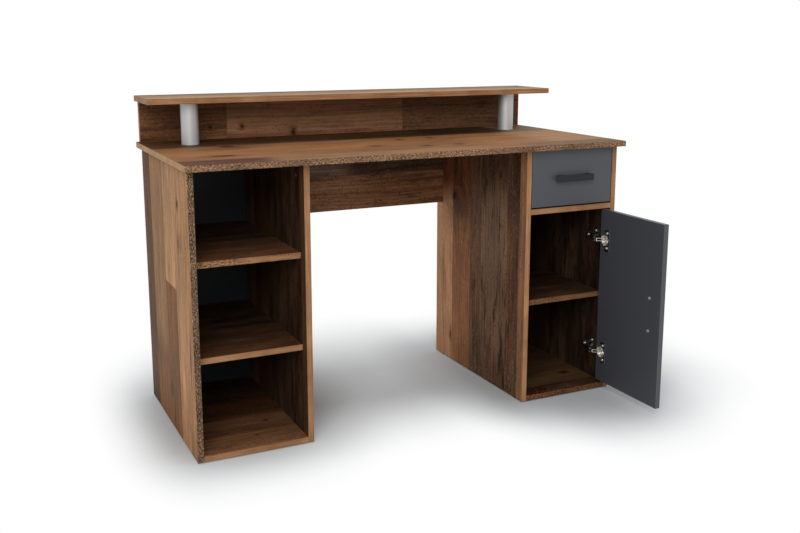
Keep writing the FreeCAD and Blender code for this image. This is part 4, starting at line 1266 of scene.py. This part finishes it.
@dataclass
class LeftPedestal(Pedestal):
    """The open pedestal with its two shelves."""

    side: str = "left"
    boards: tuple[Board, ...] = (
        Board("left_outer_side", Axis.Z, Axis.Y, OUTER_SIDE, SHADED_INNER_WALL,
              edges={FRONT: EdgeLook.BARK}, edging=DARK_EDGING),
        Board("left_inner_side", Axis.Z, Axis.Y, SHADED_INNER_WALL, FAR_SIDE),
        Board("left_bottom_board", Axis.X, Axis.Y, FLOOR_FACE_LEFT),
        # The two shelves carry painted shade, more on the lower one
        Board("left_lower_shelf", Axis.X, Axis.Y, SHELF_BOARD_FACE.shaded(0.4)),
        Board("left_upper_shelf", Axis.X, Axis.Y, SHELF_BOARD_FACE.shaded(0.7),
              edges={FRONT: EdgeLook.SPECKLED}),
    )


@dataclass
class RightPedestal(Pedestal):
    """The pedestal with the drawer and the cupboard."""

    side: str = "right"
    boards: tuple[Board, ...] = (
        Board("right_inner_side", Axis.Z, Axis.Y, WEATHERED_SHADED_SIDE, SHADED_CUPBOARD_WALL,
              edging=WARM_EDGING),
        Board("right_outer_side", Axis.Z, Axis.Y, SHADED_CUPBOARD_WALL, FAR_SIDE),
        Board("right_bottom_board", Axis.X, Axis.Y, FLOOR_FACE_RIGHT,
              edges={FRONT: EdgeLook.BARK}, edging=RED_EDGING),
        # The divider and the cupboard shelf carry painted shade, most in the cupboard
        Board("drawer_divider", Axis.X, Axis.Y, SHELF_BOARD_FACE.shaded(0.34)),
        Board("cupboard_shelf", Axis.X, Axis.Y, SHELF_BOARD_FACE.shaded(0.16),
              edges={FRONT: EdgeLook.SPECKLED}, edging=BROWN_EDGING),
    )


@dataclass
class Drawer:
    """The drawer with its graphite front and pale box.

    Attributes:
        front: Finish of the front.
        board: Finish of the box's walls.
        floor: Finish of its floor.
    """

    front: Graphite = Graphite("graphite_front")
    board: Melamine = Melamine("drawer_board")
    floor: Melamine = Melamine("pale_hardboard", paint(190, 186, 178), paint(164, 158, 148))

    def dress(self) -> None:
        """Finish the drawer's front and box."""
        wear(self.front.material(), "drawer_front")
        wear(self.board.material(), "drawer_left_wall", "drawer_right_wall", "drawer_back")
        wear(self.floor.material(), "drawer_floor")


@dataclass
class Door:
    """The cupboard door, which stands open.

    Attributes:
        panel: Its node, whose inner face is the one at its lowest x.
    """

    panel: str = "door_panel"

    def dress(self) -> None:
        """Finish the door's panel."""
        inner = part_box(self.panel)[0].x
        # The inner face gets painted shade
        wear(Graphite("graphite_door", inner_at=inner).material(), self.panel)


@dataclass
class Hardware:
    """Handles, hinges, runners and fasteners, by the finish they share.

    Attributes:
        finishes: Each finish with the nodes that have it.
    """

    finishes: tuple[tuple[Metal | Moulded, tuple[str, ...]], ...] = (
        (Metal("anthracite_metal", paint(38, 40, 42), paint(26, 27, 29), 0.46, 0.0, Axis.X, 0.6,
               0.22),
         ("drawer_handle", "door_handle")),
        (Metal("nickel_steel", paint(216, 213, 207), paint(150, 147, 141), 0.29, 1.0, Axis.Z),
         ("hinge_cup_upper", "hinge_cup_lower", "hinge_arm_upper", "hinge_arm_lower",
          "hinge_plate_upper", "hinge_plate_lower", "hinge_link_upper", "hinge_link_lower",
          "hinge_pins")),
        (Metal("grey_runner_steel", paint(190, 190, 188), paint(168, 168, 166), 0.45, 0.0,
               Axis.Y, 0.4),
         ("cabinet_runner_left", "cabinet_runner_right", "drawer_runner_left",
          "drawer_runner_right")),
        (Metal("zinc_steel", paint(224, 223, 218), paint(180, 180, 176), 0.36, 0.6, Axis.Z),
         ("tube_bolts", "tube_studs", "cam_bolts", "drawer_cam_bolts", "shelf_pins",
          "drawer_handle_screws", "door_handle_screws", "drawer_back_screws",
          "cabinet_runner_screws", "drawer_runner_screws", "hinge_cup_screws",
          "hinge_plate_screws", "hinge_arm_screws")),
        (Metal("cast_zinc", paint(176, 177, 178), paint(130, 131, 132), 0.5, 1.0, Axis.X),
         ("cam_locks", "drawer_cam_locks")),
        (Moulded("white_nylon", paint(224, 224, 219), paint(200, 200, 194), 0.4),
         ("cabinet_rollers", "drawer_rollers")),
        (Moulded("black_plastic", paint(34, 34, 35), paint(22, 22, 23), 0.5),
         ("floor_glides", "tube_end_plugs")),
        (Moulded("beech", paint(196, 160, 118), paint(160, 124, 86), 0.6, 180.0),
         ("wooden_dowels",)),
    )

    def dress(self) -> None:
        """Finish each kind of fitting."""
        for finish, nodes in self.finishes:
            wear(finish.material(), *nodes)


# Studio and camera


@dataclass(frozen=True)
class Shade:
    """Floor in the shadow of some nodes, which fades out beyond them.

    Attributes:
        nodes: The frame nodes that stand over it.
        margins: How far it goes beyond them to the left, front, right and back, in metres.
    """

    nodes: tuple[str, ...]
    margins: tuple[float, ...]

    def clear(self, x: Value, y: Value, reaches: tuple[float, ...]) -> Value:
        """Return how clear of the shadow a point of the floor is.

        Args:
            x: The point's x.
            y: The point's y.
            reaches: How far the shadow takes to fade out on its four sides, in metres.

        Returns:
            A value from 0 to 1.
        """
        boxes = [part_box(node) for node in self.nodes]
        low = [min(box[0][axis] for box in boxes) for axis in (Axis.X, Axis.Y)]
        high = [max(box[1][axis] for box in boxes) for axis in (Axis.X, Axis.Y)]
        ways = (low[0] - x, low[1] - y, x - high[0], y - high[1])
        left, front, right, back = [(way - margin) / reach for way, margin, reach in
                                    zip(ways, self.margins, reaches)]
        aside = left.greater(right).greater(0.0)
        ahead = front.greater(back).greater(0.0)
        return (aside * aside + ahead * ahead).root().fade(0.0, 1.0)

    def tight(self) -> Shade:
        """Return the shadow without its margins."""
        return replace(self, margins=(0.0, 0.0, 0.0, 0.0))


@dataclass(frozen=True)
class Lamp:
    """A square soft lamp.

    Attributes:
        name: Its name.
        place: Where it hangs.
        size: Its side, in metres.
        power: Its power, in watts.
    """

    name: str
    place: Point
    size: float
    power: float

    def hang(self, target: Point) -> None:
        """Make the lamp and turn it.

        Args:
            target: The point that it shines at.
        """
        light = bpy.data.lights.new(self.name, "AREA")
        light.size = self.size
        light.energy = self.power
        lamp = bpy.data.objects.new(self.name, light)
        bpy.context.scene.collection.objects.link(lamp)
        lamp.location = self.place
        away = [target[axis] - self.place[axis] for axis in Axis]
        flat = math.hypot(away[0], away[1])
        lamp.rotation_euler = (math.atan2(flat, -away[2]), 0.0,
                               math.atan2(away[1], away[0]) - math.pi / 2)


@dataclass
class Studio:
    """The pale floor, the white surroundings and the soft lamps.

    Attributes:
        floor_span: Side of the floor in metres.
        floor_colour: Its colour in the shadow, in linear light.
        painted_shadow_depth: How much painted shadow darkens the floor close under the pedestals
            and the door.
        wide_reaches: How far the shadows take to turn white, on four sides.
        painted_shadow_reaches: How far that painted shadow takes to fade out, on the same four
            sides.
        grounded: Shadows of what stands on the floor or just above it.
        raised: Shadows of what hangs high above it.
        target: What the lamps look at.
        lamps: The lamps.
        level: Strength of the surroundings as a light.
    """

    floor_span: float = 60.0
    floor_colour: Colour = (0.81, 0.845, 0.865, 1.0)
    painted_shadow_depth: float = 0.34
    wide_reaches: tuple[float, ...] = (0.23, 0.46, 0.45, 0.74)
    painted_shadow_reaches: tuple[float, ...] = (0.29, 0.29, 0.29, 0.29)
    grounded: tuple[Shade, ...] = (
        Shade(("left_outer_side", "left_inner_side"), (-0.01, -0.155, -0.14, -0.25)),
        Shade(("right_inner_side", "right_outer_side"), (0.02, -0.07, 0.11, -0.25)),
        Shade(("door_panel",), (0.15, -0.20, -0.08, 0.22)),
    )
    raised: tuple[Shade, ...] = (Shade(("modesty_panel",), (0.19, 0.24, -0.19, -0.11)),)
    target: Point = (0.15, -0.1, 0.0)
    lamps: tuple[Lamp, ...] = (Lamp("key_lamp", (-2.2, -4.2, 3.4), 3.2, 158.0),
                               Lamp("top_lamp", (0.4, 0.4, 4.2), 3.6, 60.0))
    level: float = 0.38

    def build(self) -> None:
        """Make the floor, the world and the lamps."""
        self._floor()
        self._world()
        for lamp in self.lamps:
            lamp.hang(self.target)

    def _floor(self) -> None:
        """Lay a floor with painted shadow close round the desk, which turns white far from it."""
        bpy.ops.object.select_all(action="DESELECT")
        bpy.ops.mesh.primitive_plane_add(size=self.floor_span)
        floor = bpy.context.object
        floor.name = "studio_floor"
        tree = Tree.material("studio_floor")
        x, y, _ = tree.place()
        whitened, clear_of_painted_shadow = self._seen(tree), 1.0
        for shade in self.grounded + self.raised:
            whitened = whitened * shade.clear(x, y, self.wide_reaches)
        # Painted shadow: the floor's colour goes darker close round the pedestals and the door
        for shade in self.grounded:
            clear_of_painted_shadow = clear_of_painted_shadow * shade.tight().clear(x, y, self.painted_shadow_reaches)
        colour = tree.blend((1 - clear_of_painted_shadow) * self.painted_shadow_depth, self.floor_colour, grey(0))
        matt = tree.node("BsdfDiffuse", sockets={"Color": colour})
        white = tree.node("Emission", sockets={"Color": grey(255), "Strength": 1.0})
        sockets = {0: whitened, 1: matt.outputs[0], 2: white.outputs[0]}
        mixed = tree.node("MixShader", sockets=sockets)
        tree.node("OutputMaterial", sockets={"Surface": mixed.outputs[0]})
        floor.data.materials.append(tree.owner)

    @staticmethod
    def _seen(tree: Tree) -> Value:
        """Tell the rays that are looked along from those that light the desk.

        Args:
            tree: The tree of the floor or the world.

        Returns:
            1 for rays from the camera, off a gloss or through a clear body, and 0 for others.
        """
        path = tree.node("LightPath").outputs
        rays = [Value(tree, path[name]) for name in
                ("Is Camera Ray", "Is Glossy Ray", "Is Transmission Ray")]
        return rays[0].greater(rays[1]).greater(rays[2])

    def _world(self) -> None:
        """Make the surroundings white to the eye and softer as a light."""
        world = bpy.data.worlds.new("studio")
        bpy.context.scene.world = world
        tree = Tree(world)
        strength = self._seen(tree) * (1 - self.level) + self.level
        sky = tree.node("Background", sockets={"Color": grey(255), "Strength": strength})
        tree.node("OutputWorld", sockets={"Surface": sky.outputs[0]})


@dataclass
class Viewpoint:
    """The camera at the photograph's viewing angle.

    Attributes:
        place: Where it stands.
        turn: How far it looks to the right, in degrees.
        tilt: How far it looks down, in degrees.
        lens: Its focal length, in millimetres.
        sensor: Its sensor's width, in millimetres.
        shift_y: Its upward shift, as a share of that width.
    """

    place: Point = (-1.1684, -2.4193, 1.0665)
    turn: float = 25.775
    tilt: float = 10.737
    lens: float = 43.2
    sensor: float = 36.0
    shift_y: float = -0.06

    def build(self) -> None:
        """Make the scene's camera."""
        camera = bpy.data.cameras.new("camera")
        camera.sensor_width = self.sensor
        camera.lens = self.lens
        camera.shift_y = self.shift_y
        holder = bpy.data.objects.new("camera", camera)
        bpy.context.scene.collection.objects.link(holder)
        holder.location = self.place
        holder.rotation_euler = (math.radians(90 - self.tilt), 0.0, math.radians(-self.turn))
        bpy.context.scene.camera = holder


def main() -> None:
    """Dress the desk, sub-assembly by sub-assembly, and set up the studio."""
    logging.basicConfig(level=logging.INFO, format="%(message)s")
    bpy.context.scene.view_settings.view_transform = "Standard"
    Viewpoint().build()
    for part in (Top(), Riser(), LeftPedestal(), RightPedestal(), Drawer(), Door(), Hardware()):
        part.dress()
        LOG.info("dressed %s", type(part).__name__)
    Studio().build()
    LOG.info("built the studio")


if __name__ == "__main__":
    main()
